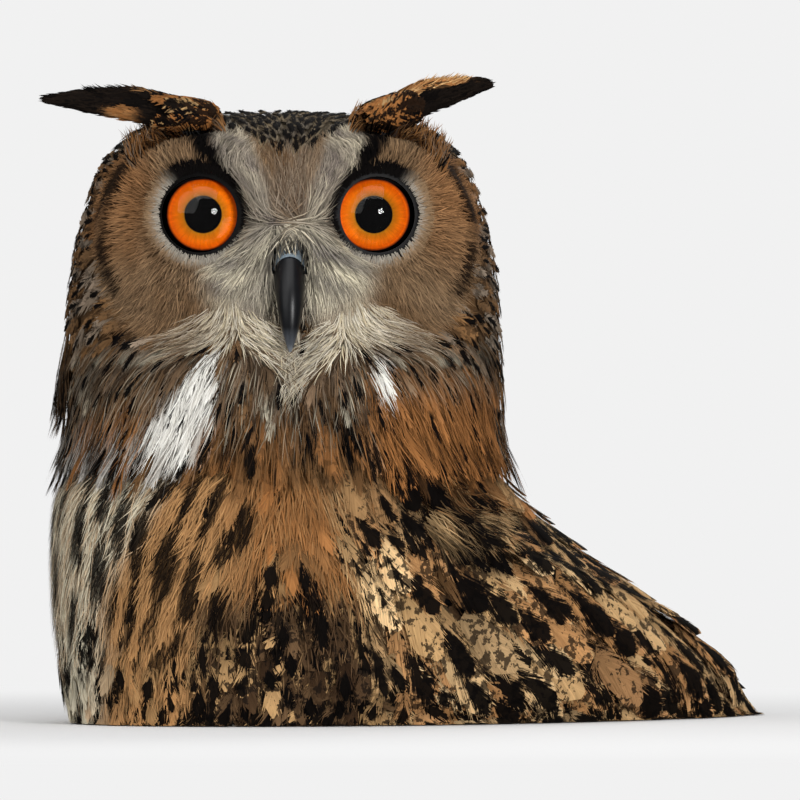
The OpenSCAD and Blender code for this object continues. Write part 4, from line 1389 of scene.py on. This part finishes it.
def add_hinge_cover(plumage):
    """Feathers and hairs of the body that lie over the wings' pins."""
    places = scatter(body_skin, lambda p: 4 * MM, near_hinge, tries=60000, seed=47)
    quills = quills_on(body_skin, places, body_flow, lambda p: (22 * MM, 8 * MM), seed=48, swerve=0.2)
    feathers(plumage, quills, body_paint, barbs=20, sheet=(5, 2), lift=5 * MM, base=2.5 * MM, lean=0.25,
             seed=49)
    places = draw(body_skin, near_hinge, tries=60000, seed=46)
    size = lambda p: (15 * MM, 0.5 * MM)
    quills = quills_on(body_skin, places, body_flow, size, seed=44, swerve=0.2, stations=4)
    hairs(plumage, quills, breast_hair_paint, lift=3.6 * MM, base=4.6 * MM, seed=43)


def add_under_wings(plumage):
    """Flat dark feathers on the body, which show only when a wing is lifted."""
    a, h, _ = draw(coat_skin, lambda p: p[..., 2] > 8 * MM, tries=1500, seed=48)
    covered = np.isin(body_skin.node_at(a, h), ["left_wing", "right_wing"])
    size = lambda p: (20 * MM, 11 * MM)
    quills = quills_on(coat_skin, (a[covered], h[covered]), body_flow, size, seed=49, swerve=0.2)
    feathers(plumage, quills, belly_paint, barbs=8, lift=0.3 * MM, base=0.15 * MM, cup=0.02, inner=0.4,
             lean=0.5, ragged=0.12, seed=50)


def build_body_feathers():
    """The feathers of the body and of each wing, whose places are drawn together."""
    a, h = scatter(body_skin, body_gap, lambda p: p[..., 2] > 5 * MM, tries=90000, seed=41)
    for number, body in enumerate(("body", "left_wing", "right_wing")):
        plumage = Plumage()
        add_contour_feathers(plumage, on_body(a, h, body), number)
        if body != "body":
            add_wing_edges(plumage, body)
        add_hem(plumage, body)
        add_breast_hairs(plumage, body)
        if body == "body":
            add_hinge_cover(plumage)
            add_under_wings(plumage)
        plumage.build(body + "_feathers", body, "feather_coat")


# ---------- the ground under the feathers ----------

def under_skin(name, skin, columns, heights, inset, kept, body, paint, *nodes):
    """A sheet just under the feathers, in their colours darkened as painted shade, so that nothing shows
    between them.
    """
    a, h = np.meshgrid(np.arange(columns) * 360 / columns, heights)
    points = (skin.point(a, h) - skin.normal(a, h) * inset).reshape(-1, 3)
    quads = round_quads(len(heights), columns)
    quads = quads[kept(points[quads].mean(axis=1))]
    used, quads = np.unique(quads, return_inverse=True)
    points = points[used]
    piece = mesh_piece(name, points, quads.reshape(-1, 4))
    colour, _ = painted(paint, np.full(len(points), 0.4), points, np.full((len(points), 4), 0.3))
    # Painted shade: the ground under the feathers is darker than the feathers themselves.
    set_colours(piece.data, "Colour", colour * 0.6)
    return finish_piece(piece, body, down, "feather_coat", *nodes)


def build_ground():
    clear = lambda p: (from_eye(p)[0] > 18.0) & ~beak_strip(p)
    above_floor = lambda p: p[:, 2] > 0
    under_skin("head_down", head_skin, 240, np.linspace(-42, 89.5, 130), 0.6 * MM, clear,
               "head", head_paint)
    under_skin("body_down", coat_skin, 160, np.linspace(BODY_LOW, BODY_HIGH, 50), 0.4 * MM, above_floor,
               "body", body_paint, "body_coat")


# ---------- ear tufts ----------

class Blade:
    """An ear tuft's own axes: out along it, up across it, and its face's normal."""

    def __init__(self, side):
        self.side = SIDES[side]
        joint = JOINT[side + "_tuft_tilt"]
        self.pin = np.array(joint["pos_m"])
        points = node_points(side + "_ear_tuft")
        tip = points[np.argmax(np.linalg.norm(points - self.pin, axis=1))]
        self.length = np.linalg.norm(tip - self.pin)
        self.out = (tip - self.pin) / self.length
        face = unit(np.array(joint["axis"]))
        self.face = face * -np.sign(face[1])
        up = np.cross(self.out, self.face)
        self.up = up * np.sign(up[2])

    def half_height(self, u):
        return np.interp(u, [0, 0.15, 0.4, 0.7, 0.9, 1.02], [6.5, 7.6, 7.2, 4.6, 1.8, 0]) * MM

    def arch(self, u):
        return np.interp(u, [0, 0.4, 0.8, 1], [0, 3.5, 2, 0]) * MM

    def quills(self, count, front, seed):
        """Long feathers side by side that run to the tip, on one face of the blade."""
        rng = np.random.default_rng(seed)
        start = rng.uniform(-0.1, 0.52, count)
        end = np.minimum(start + rng.uniform(0.40, 0.58, count), 1.01 - 0.04 * self.side)
        v0 = rng.uniform(-0.8, 0.8, count)
        v1 = v0 * 0.85 + rng.normal(0, 0.08, count)
        q = np.linspace(0, 1, 5)[None, :]
        u = start[:, None] + (end - start)[:, None] * q
        v = v0[:, None] + (v1 - v0)[:, None] * q
        height = self.arch(u) + v * self.half_height(np.clip(u, 0, 1))
        depth = front * (1.2 * MM + 1.3 * MM * (1 - np.abs(v)) * (1 - 0.6 * u))
        points = (self.pin + u[..., None] * self.length * self.out + height[..., None] * self.up
                  + depth[..., None] * self.face)
        normals = unit(front * self.face + 0.5 * v[..., None] * self.up)
        ways = unit(np.gradient(points, axis=1))
        wide = (5.6 - 2.6 * end) * rng.uniform(0.85, 1.15, count)
        return Quills(points, normals, ways, (end - start) * self.length, wide * MM)

    def share(self, p):
        """How far along the blade a place is, and how far up across it."""
        q = p - self.pin
        u = q @ self.out / self.length
        return u, (q @ self.up - self.arch(u)) / self.half_height(np.clip(u, 0, 1))

    def paint(self, s, p, luck):
        """Black, with a tan upper edge on the owl's left and some orange at the lower root."""
        u, v = self.share(p)
        u = u + 0.47 * (s - 0.7)
        fringe = ramp(v, 0.45, 0.75) * fall(u, 0.6, 0.9) * (self.side > 0)
        patch = ramp(-v, 0.2, 0.45) * fall(u, 0.54, 0.64) * ramp(u, 0.36, 0.46) * (self.side < 0)
        base = mix(BLACK, DARK, 0.5 * luck[0])
        tan = mix(TAWNY, ORANGE, luck[1]) * (1 if self.side > 0 else 0.75)
        base = mix(base, tan, np.maximum(fringe, patch * 0.9))
        return base * (0.8 + 0.4 * luck[2])[..., None], marked()

    def root_quills(self, count, seed):
        """Short feathers round the pin that hide it and sweep out along the blade."""
        rng = np.random.default_rng(seed)
        turn = rng.uniform(0, 2 * np.pi, count)
        back = rng.uniform(-11, 4, count) * MM
        q = np.linspace(0, 1, 5)[None, :]
        radial = 0.85 * np.cos(turn)[:, None] * self.up + np.sin(turn)[:, None] * self.face
        reach = (8.6 - 2.0 * q) * MM
        along = back[:, None] + q * 15 * MM
        shape = np.sqrt(np.clip(1 - (np.minimum(along, 0) / (13 * MM)) ** 2, 0.1, 1))
        points = self.pin + along[..., None] * self.out + radial[:, None, :] * (reach * shape)[..., None]
        points = points + 1.5 * MM * self.up
        normals = unit(radial)[:, None, :] * np.ones((1, 5, 1))
        return Quills(points, normals, unit(np.gradient(points, axis=1)), np.full(count, 17 * MM),
                      rng.uniform(5.5, 7.5, count) * MM)

    def root_paint(self, s, p, luck):
        base = mix(ORANGE * 0.7, BUFF * 0.6, luck[0] > 0.85)
        base = mix(base, BLACK, 0.95 * (luck[1] > 0.36))
        return base * (0.7 + 0.4 * luck[2])[..., None], marked(0.75 * (luck[3] > 0.3), 0.35)

    def fringe_quills(self, count, seed):
        """Loose hairs along the upper edge."""
        rng = np.random.default_rng(seed)
        u = rng.uniform(-0.1, 0.7, count)
        length = rng.uniform(3, 6, count) * MM
        q = np.linspace(0, 1, 3)[None, :]
        height = self.arch(u) + self.half_height(u) * rng.uniform(0.4, 0.9, count)
        root = (self.pin + u[:, None] * self.length * self.out + height[:, None] * self.up
                + rng.normal(0, 1.5 * MM, count)[:, None] * self.face)
        way = unit(self.out + rng.uniform(0, 0.4, count)[:, None] * self.up)
        points = root[:, None, :] + way[:, None, :] * (length[:, None] * q)[..., None]
        normals = np.broadcast_to(self.face, points.shape)
        return Quills(points, normals, np.broadcast_to(way[:, None, :], points.shape), length,
                      np.full(count, 0.4 * MM))

    def fringe_paint(self, s, p, luck):
        u, _ = self.share(p)
        tan = mix(TAWNY, BUFF, luck[0])
        if self.side < 0:
            brown = mix(UMBER, TAWNY, luck[0])
            tan = mix(BLACK, brown, (luck[1] > 0.3) * fall(u, 0.3, 0.5))
        return tan, marked()


def near_tuft(p):
    """Where hairs of the head rise to meet the tufts and hide their hinges."""
    x, z = folded_view(p)
    pin = np.array(JOINT["left_tuft_tilt"]["pos_m"])
    return (x > 24) & (x < 62) & (z > 220) & (np.abs(p[..., 1] - pin[1]) < 10 * MM)


def tuft_base_paint(s, p, luck):
    x = np.abs(p[..., 0]) / MM
    base = mix(mix(TAWNY * 0.8, ORANGE * 0.6, luck[0]), GREY * 0.6, 0.5 * (luck[1] > 0.75))
    black = np.maximum(fall(np.abs(x - 36), 5, 8), luck[2] > 0.75)
    # Each hair is darker towards its root: painted shade where hairs overlap.
    return mix(base, BLACK, black) * (0.7 + 0.4 * s)[..., None], marked()


def tuft_base_flow(p):
    """Up, and a little away from the middle of the head."""
    return vector(0.5 * np.sign(p[..., 0]), 0, 1)


def build_tuft_bases():
    plumage = Plumage()
    places = draw(head_skin, near_tuft, tries=130000, seed=64)
    size = lambda p: (6 * MM, 0.5 * MM)
    quills = quills_on(head_skin, places, tuft_base_flow, size, seed=65, swerve=0.4, stations=3, spread=0.3)
    hairs(plumage, quills, tuft_base_paint, lift=6.5 * MM, base=0.5 * MM, seed=66)
    plumage.build("tuft_base_bristles", "head", "dark_feather")


def build_tuft(side):
    sign = SIDES[side]
    blade = Blade(side)
    plumage = Plumage()
    for front in (1, -1):
        quills = blade.quills(44, front, 60 + front)
        feathers(plumage, quills, blade.paint, barbs=14, sheet=(5, 2), lift=0.4 * MM, base=0.2 * MM,
                 inner=0.4, lean=0.25, ragged=0.25, seed=70 + front)
    quills = blade.root_quills(90, 80 + sign)
    feathers(plumage, quills, blade.root_paint, barbs=10, lift=1.2 * MM, base=0, inner=0.4, lean=0.5,
             ragged=0.35, seed=82 + sign)
    quills = blade.fringe_quills(500, 84 + sign)
    hairs(plumage, quills, blade.fringe_paint, lift=0.5 * MM, base=0, seed=86)
    plumage.build(side + "_tuft_feathers", side + "_tuft", "dark_feather", side + "_ear_tuft")


# ---------- eyes ----------

def iris_material(side):
    """Radial fibres: orange, yellower near the pupil and redder at the edge."""
    m = Nodes(side + "_iris_colour")
    uv = m.uv("OFBake")
    fibres = m.noise(m.scaled(uv, (1.4, 60, 1)), 1, 4, 0.7)
    across = m.stops(m.split(uv)[0], (0.0, srgb(92, 76, 18)), (0.08, srgb(176, 104, 10)),
                     (0.45, srgb(222, 107, 3)), (0.84, srgb(214, 86, 2)), (0.97, srgb(60, 18, 4)))
    m.shade(Base_Color=m.toned(across, fibres, (0.3, 0.75), (0.7, 1.15)),
            Roughness=0.6, Specular_IOR_Level=0.03)
    m.bump(fibres, 0.5, 0.4 * MM)
    return m.material


def glass_material():
    """Clear glass that casts no shadow, so that light reaches the iris."""
    m = Nodes("clear_glass")
    smear = m.noise(m.place(), 90, 2, 0.5)
    m.shade(Base_Color=m.stops(smear, (0.0, 0.97), (1.0, 1.0)), Roughness=m.times(smear, 0.015),
            Transmission_Weight=1.0, IOR=1.33)
    clear = m.new("ShaderNodeBsdfTransparent")
    shadow = m.new("ShaderNodeLightPath").outputs["Is Shadow Ray"]
    both = m.choose(shadow, m.shader.outputs["BSDF"], clear.outputs["BSDF"])
    m.join(both, m.output.inputs["Surface"])
    return m.material


def own_axes(node):
    """Centre, axis and points of a round node, which looks towards -Y."""
    points = node_points(node)
    centre = points.mean(axis=0)
    _, axes = np.linalg.eigh(np.cov((points - centre).T))
    axis = axes.T[np.argmax(np.abs(axes.T[:, 1]))]
    return centre, axis * -np.sign(axis[1]), points


def build_iris(side):
    """A shallow bowl in place of the CAD ring."""
    node = side + "_iris"
    centre = EYES[side]
    gaze = unit(box_centre(node) - centre)
    points = node_points(node) - centre
    depth = points @ gaze
    spread = np.linalg.norm(points - depth[:, None] * gaze, axis=1)
    across = unit(np.cross(gaze, [0, 0, 1.0]))
    up = np.cross(across, gaze)
    rings, spokes = 10, 96
    share = np.linspace(0, 1, rings)[:, None]
    angle = np.arange(spokes + 1)[None, :] * 2 * np.pi / spokes
    inner, outer = spread.min() - 0.35 * MM, spread.max()
    radius = inner + (outer - inner) * share
    bowl = -0.5 * MM * (1 - share) ** 2 + 0.12 * MM * np.sin(3 * np.pi * share)
    height = depth.max() - 0.4 * MM + bowl
    own = vector(radius * np.cos(angle), radius * np.sin(angle), height)
    p = centre + own @ np.stack([across, up, gaze])
    quads = open_quads(rings, spokes + 1)
    piece = mesh_piece(side + "_iris_bowl", p.reshape(-1, 3), quads)
    uv = vector(0.02 + 0.96 * share, 0.02 + 0.96 * angle / (2 * np.pi))
    set_uv(piece.data, "OFBake", uv, quads.ravel())
    finish_piece(piece, "head", iris_material(side), "iris", node)


def lash_paint(s, p, luck):
    """The ring of short hairs round an eye: black above and inside, grey outside and below."""
    r, _ = from_eye(p)
    below_outside = np.abs(p[..., 0] / MM) * 0.6 - EYE_X / MM * 0.6 - (p[..., 2] - EYE_Z) / MM * 0.8
    pale = ramp(below_outside / np.maximum(r, 1), -0.35, 0.15) * ramp(r, 16.6, 17.6)
    base = mix(BLACK, GREY * 0.65, pale * (0.5 + 0.45 * luck[0]))
    base = mix(base, mix(GREY * 0.7, DISC * 0.9, ramp(r, 19, 22)), ramp(r, 17.6, 18.6) * pale)
    return base * (0.8 + 0.4 * luck[1])[..., None], marked()


def lash_quills(side, rng):
    """Hairs that stand round an eye socket's rim and bend back over it."""
    count = 2600
    centre, axis, points = own_axes(side + "_eye_socket")
    front = ((points - centre) @ axis).max()
    across = unit(np.cross(axis, [0, 0, 1.0]))
    up = np.cross(across, axis)
    angle = rng.uniform(0, 2 * np.pi, count)
    radius = rng.uniform(16.2, 20.5, count) * MM
    drop = np.maximum(radius - 18.8 * MM, 0) * 1.2
    eye = centre - ((centre - EYES[side]) @ across) * across
    out = np.cos(angle)[:, None] * across + np.sin(angle)[:, None] * up
    root = eye + out * radius[:, None] + axis * (front - drop + 0.05 * MM)[:, None]
    way = unit(out + axis * rng.uniform(-0.1, 0.25, count)[:, None] + rng.normal(0, 0.12, (count, 3)))
    length = rng.uniform(2.5, 4.2, count) * MM
    q = np.linspace(0, 1, 3)
    paths = root[:, None] + way[:, None] * (length[:, None] * q)[..., None]
    paths = paths - axis * (q ** 2)[None, :, None] * 1.2 * MM
    normals = np.broadcast_to(axis, paths.shape)
    return Quills(paths, normals, unit(np.gradient(paths, axis=1)), length, np.full(count, 0.36 * MM))


def build_lashes():
    """Short hairs that hide the rims of the eye sockets."""
    plumage = Plumage()
    rng = np.random.default_rng(90)
    for side in SIDES:
        hairs(plumage, lash_quills(side, rng), lash_paint, lift=0.2 * MM, base=0, seed=91)
    plumage.build("eye_ring_bristles", "head", "pale_face")


def dress(material, *nodes):
    """Gives CAD nodes that show a finished material."""
    for node in nodes:
        mesh = frame["nodes"][node].data
        mesh.materials.clear()
        mesh.materials.append(material)


def lid_material():
    """Lids covered in short fine plumage that lies along their sweep, with a bare dark margin."""
    m = Nodes("lid_plumage")
    place = m.place()
    points = node_points("left_eyelid") - [0, EYE_Y, EYE_Z]
    shell = points[np.abs(points[:, 0] - EYE_X) < 10 * MM]
    margin = np.min(np.arctan2(shell[:, 2], -shell[:, 1]))
    _, y, z = m.split(place)
    turn = m.maths("ARCTAN2", m.less(z, EYE_Z), m.less(EYE_Y, y))
    edge = m.fade(turn, margin + math.radians(9), margin + math.radians(5))
    fluff = m.noise(m.scaled(place, (2600, 420, 420)), 1, 4, 0.7)
    patches = m.noise(place, 160, 3, 0.6)
    tone = m.blend(patches, GREY * 0.42, BROWN * 0.7)
    tone = m.toned(tone, fluff, (0.3, 0.45), (0.7, 1.35))
    m.shade(Base_Color=m.blend(edge, tone, BLACK), Roughness=0.85, Specular_IOR_Level=0.1)
    m.bump(fluff, 0.8, 0.35 * MM)
    return m.material


def build_eyes():
    for side in SIDES:
        build_iris(side)
    build_lashes()
    dress(glass_material(), "left_cornea", "right_cornea")
    black_glass = speckled_material("black_glass", (2, 2, 2), (4, 4, 4), 200, 0.7, 0.02, shine=0.0)
    dress(black_glass, "left_eye_globe", "right_eye_globe")
    eye_rim = speckled_material("eye_rim", (5, 4, 4), (14, 12, 11), 900, 0.5, 0.4, shine=0.15)
    dress(eye_rim, "left_eye_socket", "right_eye_socket")
    dress(lid_material(), "left_eyelid", "right_eyelid")


# ---------- beak ----------

def horn_material():
    """Dark horn, paler towards the tip, with faint growth lines and a polished surface."""
    m = Nodes("horn")
    place = m.place()
    low, high = (corner[2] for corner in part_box("upper_beak"))
    share = m.new("ShaderNodeMapRange")
    share.inputs["From Min"].default_value = low
    share.inputs["From Max"].default_value = high
    m.join(m.split(place)[2], share.inputs["Value"])
    tone = m.stops(share.outputs["Result"], (0.0, srgb(112, 116, 120)), (0.07, srgb(70, 74, 80)),
                   (0.22, srgb(14, 15, 18)), (0.8, srgb(10, 10, 13)), (1.0, srgb(40, 48, 58)))
    lines = m.noise(m.scaled(place, (700, 300, 60)), 1, 4, 0.7)
    m.shade(Base_Color=m.toned(tone, lines, (0.3, 0.75), (0.7, 1.3)), Roughness=0.36,
            Specular_IOR_Level=0.35)
    m.bump(lines, 0.12, 0.2 * MM)
    return m.material


def smooth_copy(node, name, body, material, slot, levels=2):
    """A finer, rounded copy of a CAD node's mesh, which takes its place."""
    mesh = frame["nodes"][node].data.copy()
    mesh.name = name
    shape = bmesh.new()
    shape.from_mesh(mesh)
    bmesh.ops.remove_doubles(shape, verts=shape.verts, dist=0.01 * MM)
    bmesh.ops.join_triangles(
        shape, faces=shape.faces, angle_face_threshold=0.6, angle_shape_threshold=1.2)
    shape.to_mesh(mesh)
    shape.free()
    mesh.materials.clear()
    mesh.polygons.foreach_set("use_smooth", np.ones(len(mesh.polygons), bool))
    piece = bpy.data.objects.new(name, mesh)
    bpy.context.scene.collection.objects.link(piece)
    modifier = piece.modifiers.new("round", "SUBSURF")
    modifier.levels = modifier.render_levels = levels
    return finish_piece(piece, body, material, slot, node)


def build_chin():
    """Pale hairs under the lower beak, which move with it."""
    rng = np.random.default_rng(95)
    count = 420
    front = rng.uniform(0, 1, count)
    x = rng.uniform(-1, 1, count) * (6.5 - 3.5 * front) * MM
    y = -60 * MM - 17 * MM * front
    z = (164 - 7 * front) * MM + rng.uniform(-1, 0.5, count) * MM
    way = unit(vector(0.25 * x / (6 * MM), -0.35 + 0.2 * rng.normal(size=count), -1))[:, None]
    length = rng.uniform(6, 10, count) * MM
    q = np.linspace(0, 1, 3)
    paths = vector(x, y, z)[:, None] + way * (length[:, None] * q)[..., None]
    normals = np.broadcast_to(np.array([0, -1.0, 0]), paths.shape)
    ways = np.broadcast_to(way, paths.shape)
    plumage = Plumage()
    quills = Quills(paths, normals, ways, length, np.full(count, 0.5 * MM))
    hairs(plumage, quills, bib_paint, lift=0.5 * MM, base=0, seed=96)
    plumage.build("chin_bristles", "jaw", "pale_face")


def build_beak():
    horn = horn_material()
    smooth_copy("upper_beak", "horn_bill", "head", horn, "horn")
    dress(horn, "lower_beak")
    dress(speckled_material("cere", (84, 96, 106), (128, 140, 148), 500, 0.5, 0.4), "cere")
    build_chin()


# ---------- inside: shells, bearing, pins and the paper bag ----------

GUSSET, TOOTH, LAP = 9 * MM, 2.5 * MM, 7 * MM  # depth of a gusset, pitch of the mouth's teeth, seam
FOLD_HEIGHTS = (52 * MM, 108 * MM)


def paper_material():
    """Brown kraft paper: fibres, flecks, and paler lines where it has been creased."""
    m = Nodes("kraft_paper")
    place = m.place()
    fibres = m.noise(m.scaled(place, (2400, 2400, 500)), 1, 4, 0.7)
    flecks = m.times(m.fade(m.noise(place, 1500, 2, 0.5), 0.66, 0.72), 0.5)
    ridge = m.size(m.less(m.noise(place, 45, 3, 0.55), 0.5))
    crease = m.times(m.fade(ridge, 0.02, 0.0), 0.4)
    tone = m.stops(fibres, (0.3, srgb(146, 104, 62)), (0.7, srgb(188, 146, 98)))
    tone = m.blend(crease, m.blend(flecks, tone, UMBER), srgb(214, 180, 136))
    m.shade(Base_Color=tone, Roughness=0.85, Specular_IOR_Level=0.2)
    m.bump(m.less(fibres, crease), 0.5, 0.3 * MM)
    return m.material


def bag_outline(x, y):
    """The bag's flattened rectangle with a gusset folded into each side, as points a tooth apart."""
    corners = np.array([(x, -y), (x - GUSSET, 0), (x, y), (-x, y), (GUSSET - x, 0), (-x, -y), (x, -y)])
    wall = []
    for start, end in zip(corners[:-1], corners[1:]):
        steps = round(np.linalg.norm(end - start) / TOOTH)
        wall.extend(start + (end - start) * k / steps for k in range(steps))
    return np.array(wall)


def build_bag():
    """The paper bag: a lofted shell with folded gussets, a lapped seam, creases, and a pinked mouth."""
    low, high = (np.array(corner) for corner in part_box("hand_bag"))
    centre, (x, y, _) = (low + high) / 2, (high - low) / 2
    wall = bag_outline(x, y)
    count, rows, top_rows = len(wall), 56, 10
    share = np.concatenate([np.linspace(0, 1, rows), np.ones(top_rows)])[:, None]
    shut = np.concatenate([np.zeros(rows), np.linspace(0.1, 1, top_rows)])[:, None]
    teeth = np.where(np.abs(wall[:, 1]) > y - 1e-6, TOOTH * (np.arange(count) % 2), 0)
    mouth = low[2] + teeth[None, :] * fall(share, 0, 0.05)
    p = vector(wall[None, :, 0], wall[None, :, 1], mouth + (high[2] - 1 * MM - mouth) * share)
    fold = sum(np.exp(-((p[..., 2] - height) / (1.4 * MM)) ** 2) for height in FOLD_HEIGHTS)
    sag = 0.5 + 1.8 * np.sin(np.pi * share) ** 2 + 0.7 * ripple(p, 9 * MM, 97) + 0.9 * fold
    sag = sag + 0.35 * (np.abs(p[..., 0]) < LAP) * (p[..., 1] > 0)
    inset = np.clip(sag, 0.2, 4) * MM
    p[..., 0] -= np.sign(p[..., 0]) * inset * (np.abs(p[..., 1]) < y - 1e-6)
    p[..., 1] -= np.sign(wall[None, :, 1]) * inset
    p[..., 1] *= 1 - 0.995 * shut
    p[..., 2] += 0.5 * MM * shut * ripple(p, 12 * MM, 98)
    p[..., :2] += centre[:2]
    piece = mesh_piece("paper_bag", p.reshape(-1, 3), round_quads(len(share), count))
    modifier = piece.modifiers.new("paper", "SOLIDIFY")
    modifier.thickness = 0.3 * MM
    finish_piece(piece, "head", paper_material(), "kraft_paper", "hand_bag")


# Material, darker and lighter colour, scale of its grain, roughness, bump and metal, and its nodes.
HARDWARE = (
    ("moulded_shell", (120, 116, 108), (150, 146, 138), 160, 0.6, 0.15, 0.0,
     ("body_shell", "face_shell", "crown_shell", "base_ring", "neck_collar")),
    ("black_moulding", (30, 30, 31), (52, 52, 54), 260, 0.5, 0.15, 0.0,
     ("turning_ring", "retaining_ring", "left_tuft_bracket", "right_tuft_bracket")),
    ("light_moulding", (182, 176, 164), (212, 206, 194), 260, 0.5, 0.12, 0.0,
     ("eyelid_lever", "eye_bridge", "beak_frame")),
    ("washer", (214, 210, 198), (236, 232, 222), 300, 0.45, 0.05, 0.0, ("thrust_washer",)),
    ("steel", (150, 152, 156), (190, 192, 196), 700, 0.3, 0.08, 1.0,
     ("retaining_screws", "jaw_pin", "left_tuft_pin", "right_tuft_pin", "left_wing_pin",
      "right_wing_pin", "left_wing_bracket", "right_wing_bracket")))


def build_inside():
    for *look, nodes in HARDWARE:
        dress(speckled_material(*look), *nodes)
    dress(board_material(), "left_wing", "right_wing")
    build_bag()


# ---------- stage, light and camera ----------

BACKDROP = 0.88  # how bright the plain ground is
GLOSSY = 0.08  # how bright it is in reflections, so that glass and horn stay dark


def build_stage():
    floor = mesh_piece("floor", [(-6, -6, 0), (6, -6, 0), (6, 6, 0), (-6, 6, 0)], [[0, 1, 2, 3]])
    m = Nodes("studio_floor")
    place = m.place()
    length = m.new("ShaderNodeVectorMath", operation="LENGTH")
    m.join(place, length.inputs[0])
    cloud = m.noise(place, 2, 2, 0.5)
    m.shade(Base_Color=m.stops(cloud, (0.0, 0.76), (1.0, 0.78)), Roughness=0.9, Specular_IOR_Level=0.0)
    path = m.new("ShaderNodeLightPath")
    far = m.times(m.fade(length.outputs["Value"], 0.2, 0.6), path.outputs["Is Camera Ray"])
    last = m.shader.outputs["BSDF"]
    for share, brightness in ((far, BACKDROP), (path.outputs["Is Glossy Ray"], GLOSSY)):
        glow = m.new("ShaderNodeEmission", Strength=1.0)
        glow.inputs["Color"].default_value = (brightness, brightness, brightness, 1)
        last = m.choose(share, last, glow.outputs["Emission"])
    m.join(last, m.output.inputs["Surface"])
    floor.data.materials.append(m.material)


def build_world():
    world = bpy.data.worlds.new("studio")
    world.use_nodes = True
    bpy.context.scene.world = world
    tree = world.node_tree
    path = tree.nodes.new("ShaderNodeLightPath")
    last = tree.nodes["Background"]
    last.inputs["Color"].default_value = (1, 1, 1, 1)
    last.inputs["Strength"].default_value = 0.32
    for ray, brightness in (("Is Glossy Ray", GLOSSY), ("Is Camera Ray", BACKDROP)):
        other = tree.nodes.new("ShaderNodeBackground")
        other.inputs["Color"].default_value = (brightness, brightness, brightness, 1)
        choose = tree.nodes.new("ShaderNodeMixShader")
        tree.links.new(path.outputs[ray], choose.inputs["Fac"])
        tree.links.new(last.outputs[0], choose.inputs[1])
        tree.links.new(other.outputs["Background"], choose.inputs[2])
        last = choose
    tree.links.new(last.outputs[0], tree.nodes["World Output"].inputs["Surface"])


def add_light(name, azimuth, elevation, distance, size, power, shape="DISK"):
    """A lamp that looks at the head from an angle to the right of the camera, in degrees."""
    lamp = bpy.data.lights.new(name, "AREA")
    lamp.shape = shape
    lamp.size = size
    lamp.energy = power
    light = bpy.data.objects.new(name, lamp)
    a, e = math.radians(azimuth), math.radians(elevation)
    target = Vector((0, 0, EYE_Z))
    way = Vector((math.sin(a) * math.cos(e), -math.cos(a) * math.cos(e), math.sin(e)))
    light.location = target + way * distance
    light.rotation_euler = (-way).to_track_quat("-Z", "Y").to_euler()
    bpy.context.scene.collection.objects.link(light)
    return light


def build_light():
    octabox = add_light("octabox", azimuth=24, elevation=8, distance=1.5, size=0.42, power=12)
    octabox.visible_transmission = False  # else it shows a second time inside the eyes
    add_light("window", azimuth=-50, elevation=30, distance=1.8, size=1.8, power=13, shape="SQUARE")
    add_light("overhead", azimuth=5, elevation=68, distance=1.6, size=1.6, power=13, shape="SQUARE")
    add_light("rim", azimuth=160, elevation=35, distance=1.6, size=0.8, power=7, shape="SQUARE")


def build_camera():
    """A level view, nearly straight on, with 0.32 m across the picture."""
    camera = bpy.data.cameras.new("camera")
    camera.sensor_width = 36
    camera.clip_end = 30
    distance, across = 5.0, 0.32
    camera.lens = camera.sensor_width * (distance - 0.05) / across
    view = bpy.data.objects.new("camera", camera)
    azimuth = math.radians(-2.3)
    target = Vector((47 * MM, 0, 130 * MM))
    view.location = target + distance * Vector((math.sin(azimuth), -math.cos(azimuth), 0))
    view.rotation_euler = (target - view.location).to_track_quat("-Z", "Y").to_euler()
    bpy.context.scene.collection.objects.link(view)
    bpy.context.scene.camera = view
    bpy.context.scene.view_settings.view_transform = "Standard"


build_ground()
build_face()
build_crown()
build_ruff()
build_body_feathers()
build_tuft_bases()
for side in SIDES:
    build_tuft(side)
build_eyes()
build_beak()
build_inside()
build_stage()
build_world()
build_light()
build_camera()
